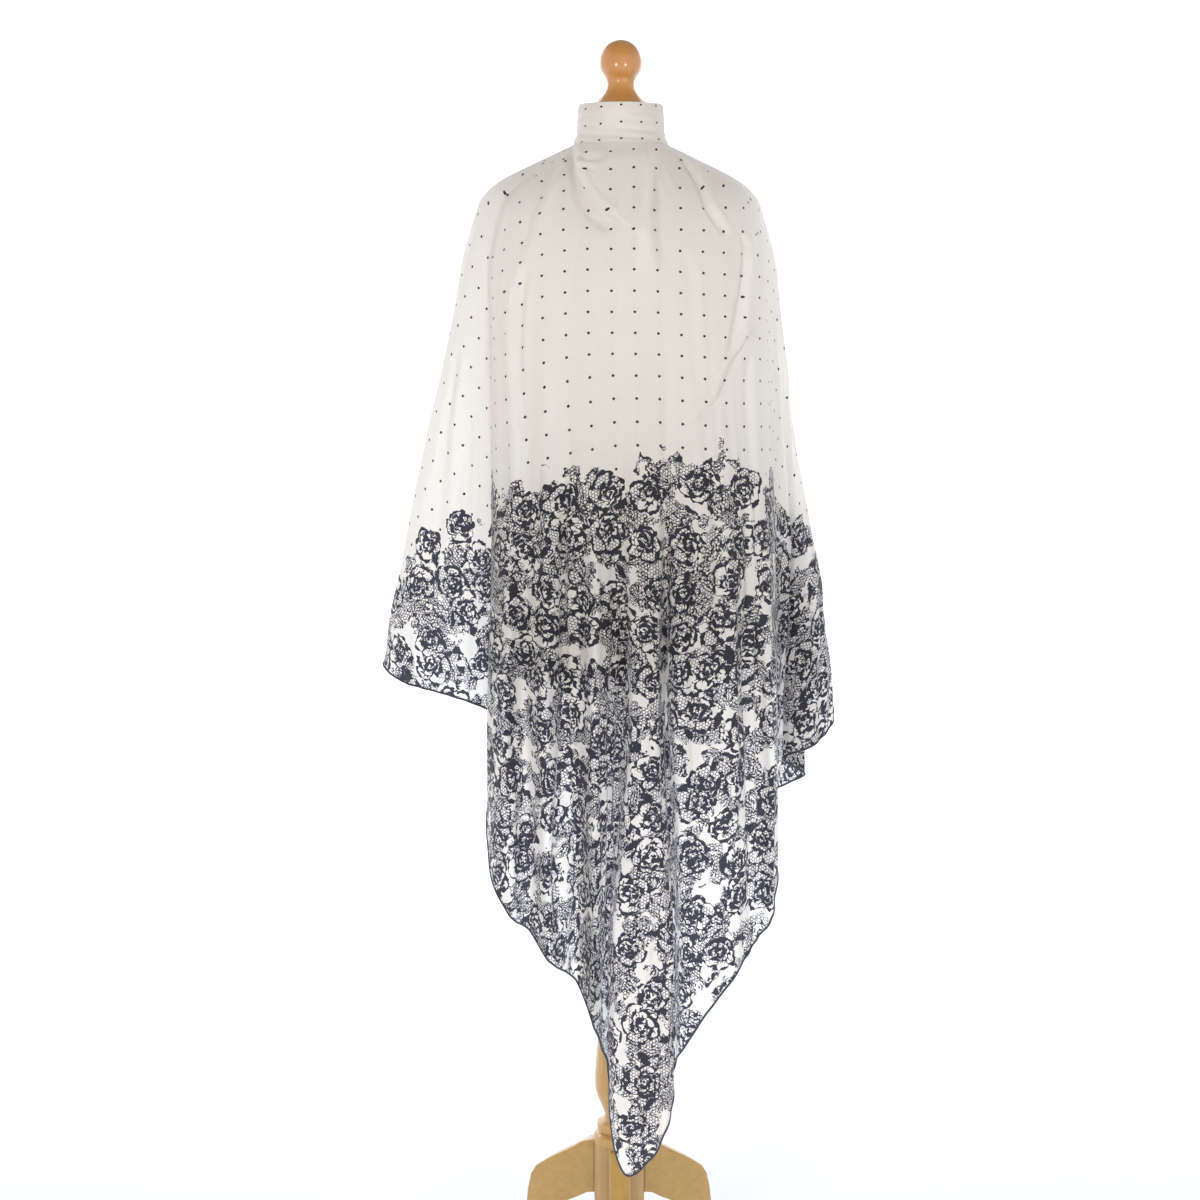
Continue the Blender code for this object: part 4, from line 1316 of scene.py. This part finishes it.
for stretch in STRETCHES:
    begin, end = FOLD_NUMBER[stretch.first], FOLD_NUMBER[stretch.last]
    places = np.linspace(begin, end, (end - begin) * COLUMNS_PER_FOLD + 1)
    points, faces, normals, flat = draped(places, SHEET_ROWS)
    link_object("silk_" + stretch.name, points, faces, flat, normals)
    sheet = finish_piece("silk_" + stretch.name, silk)
    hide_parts(*stretch.nodes)
    grid = points.reshape(len(places), len(SHEET_ROWS), 3)
    edge = grid[:, -1]
    if begin == 0:
        edge = np.concatenate([grid[0, :-1], edge])
    if end == LAST_FOLD:
        edge = np.concatenate([edge, grid[-1, :-1][::-1]])
    hem = roll_hem("hem_" + stretch.name, edge)


# The neck band
# The scarf's upper part is wound round the neck as a smooth high collar, folded over at its top edge.
# Its folds run round it, a little slanting, and the pin dots follow them.

BAND_COLUMNS, BAND_STEPS = 180, 4
BAND_GATHER, BAND_SLANT = 1.5 * MM, 3.5 * MM
# The print on it: metres across for each radian, height at the foot, closeness of the rows, sink to the left
BAND_ACROSS, BAND_PRINT, BAND_CLOSER, BAND_SINK = 0.062, 1.380, 1.37, 0.007
BandRow = namedtuple("BandRow", "radius height")
BAND = (
    BandRow(62.4, 1547.8),
    BandRow(60.9, 1551),
    BandRow(58.2, 1556),
    BandRow(57.4, 1562),
    BandRow(57.0, 1570),
    BandRow(56.8, 1577),
    BandRow(56.4, 1584),
    BandRow(56.0, 1590),
    BandRow(55.3, 1594.5),
    BandRow(54.5, 1597.2),
    BandRow(53.6, 1598.2),
    BandRow(52.7, 1597.4),
    BandRow(52.2, 1595),
    BandRow(52.1, 1590.5),
)


def band_points(angles):
    """Columns up the band, over its folded top and a little way down inside, with the print's place."""
    rows = np.array(BAND) * MM
    fine = np.linspace(0, len(rows) - 1, BAND_STEPS * (len(rows) - 1) + 1)
    radii = np.interp(fine, range(len(rows)), rows[:, 0])
    heights = np.interp(fine, range(len(rows)), rows[:, 1])
    run = np.concatenate([[0], np.cumsum(np.hypot(np.diff(radii), np.diff(heights)))])
    points, flat = [], []
    for angle in angles:
        slant = heights + BAND_SLANT * math.sin(angle + 0.6)
        folds = np.sin((slant - 1.5478) * 560 + 0.8 * math.sin(2 * angle))
        folds = folds * math.sin(2 * angle + 0.7) ** 2
        low = eased((1.575 - heights) / 0.02) * eased((heights - 1.548) / 0.004)
        gather = BAND_GATHER * folds * eased((1.592 - heights) / 0.01) * (0.35 + 0.65 * low)
        radius = radii + gather
        points += zip(radius * math.sin(angle), -radius * math.cos(angle), heights)
        sunk = BAND_SINK * max(-math.sin(angle), 0)
        flat += zip(np.full(len(run), angle * BAND_ACROSS), BAND_PRINT + sunk + BAND_CLOSER * run)
    return np.array(points), np.array(flat), len(fine)


angles = np.linspace(-math.pi, math.pi, BAND_COLUMNS + 1)
points, flat, rows = band_points(angles)
faces = sheet_faces(BAND_COLUMNS + 1, rows, False)
link_object("silk_neck_band", points, faces, flat)
band = finish_piece("silk_neck_band", silk)
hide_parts("scarf_neck_band")


# The stage
# A round room of pale matt paper whose floor curves up into its wall, so every side has the same ground.
# Two soft boxes stand in front, two small lamps give the varnish its highlights, the rest light the paper.


def pale_paper(name, colour):
    """Uncoated paper, matt all over."""
    made, node = new_material(name)
    shader = node("BsdfPrincipled", Base_Color=linear(colour), Roughness=0.9)
    node("OutputMaterial", shader)
    return made


ROOM_RADIUS, ROOM_HEIGHT, ROOM_SIDES = 4.6, 5.0, 64
CURVE, CURVE_STEPS = 1.2, 16
FLOOR_DISC = 0.6
sweep = [(FLOOR_DISC, 0.0), (ROOM_RADIUS - CURVE, 0.0)]
for step in range(1, CURVE_STEPS + 1):
    angle = math.pi / 2 * step / CURVE_STEPS
    sweep.append((ROOM_RADIUS - CURVE + CURVE * math.sin(angle), CURVE - CURVE * math.cos(angle)))
sweep.append((ROOM_RADIUS, ROOM_HEIGHT))
stage_points = [(0.0, 0.0, 0.0)]
for side in range(ROOM_SIDES):
    angle = math.tau * side / ROOM_SIDES
    for reach, height in sweep:
        stage_points.append((reach * math.cos(angle), reach * math.sin(angle), height))
stage_faces = []
for side in range(ROOM_SIDES):
    here, there = 1 + side * len(sweep), 1 + (side + 1) % ROOM_SIDES * len(sweep)
    stage_faces.append((0, here, there))
    for i in range(len(sweep) - 1):
        stage_faces.append((here + i, here + i + 1, there + i + 1, there + i))
stage_mesh = bpy.data.meshes.new("backdrop")
stage_mesh.from_pydata(stage_points, [], stage_faces)
stage_mesh.shade_smooth()
backdrop = bpy.data.objects.new("backdrop", stage_mesh)
bpy.context.collection.objects.link(backdrop)
backdrop.data.materials.append(pale_paper("white paper, uncoated", "#E6E8EC"))


def soft_light(name, place, target, width, height, power, mirrored):
    """A soft box that faces its target; only the small lamps are mirrored in the varnish."""
    light = bpy.data.lights.new(name, "AREA")
    light.shape = "RECTANGLE"
    light.size, light.size_y = width, height
    light.energy = power
    lamp = bpy.data.objects.new(name, light)
    bpy.context.collection.objects.link(lamp)
    lamp.location = place
    lamp.visible_glossy = mirrored
    lamp.visible_camera = False
    away = [a - b for a, b in zip(place, target)]
    lamp.rotation_euler = (math.acos(away[2] / math.hypot(*away)), 0, math.atan2(away[0], -away[1]))


soft_light("left box", (-1.5, -3.4, 2.0), (0, 0, 1.0), 1.2, 1.6, 35, False)
soft_light("right box", (1.7, -3.3, 1.7), (0, 0, 1.0), 1.2, 1.6, 20, False)
soft_light("left lamp", (-1.45, -3.0, 0.6), (0, 0, 1.6), 0.6, 0.6, 12, True)
soft_light("right lamp", (1.45, -3.0, 0.6), (0, 0, 1.6), 0.6, 0.6, 12, True)
soft_light("wall light left", (-2.4, 2.2, 3.2), (-0.6, 4.6, 1.2), 1.4, 2.4, 134, False)
soft_light("wall light right", (2.4, 2.2, 3.2), (0.6, 4.6, 1.2), 1.4, 2.4, 134, False)
soft_light("left side light", (-2.8, -0.6, 3.4), (-4.6, -1.0, 1.2), 1.4, 1.4, 14, False)
soft_light("right side light", (2.8, -0.6, 3.4), (4.6, -1.0, 1.2), 1.4, 1.4, 14, False)

world = bpy.data.worlds.new("studio")
bpy.context.scene.world = world
world.use_nodes = True
world.node_tree.nodes["Background"].inputs["Color"].default_value = linear("#F5F7FC")
world.node_tree.nodes["Background"].inputs["Strength"].default_value = 0.32
bpy.context.scene.view_settings.view_transform = "Standard"

# The camera stands 3 m away at chest height and looks down a little, as in the photograph
lens = bpy.data.cameras.new("camera")
lens.lens = 67.74
lens.sensor_width = 36
camera = bpy.data.objects.new("camera", lens)
bpy.context.collection.objects.link(camera)
camera.location = (-0.0128, -2.9978, 1.40)
camera.rotation_euler = (math.radians(90 - 8.6), 0, 0)
bpy.context.scene.camera = camera
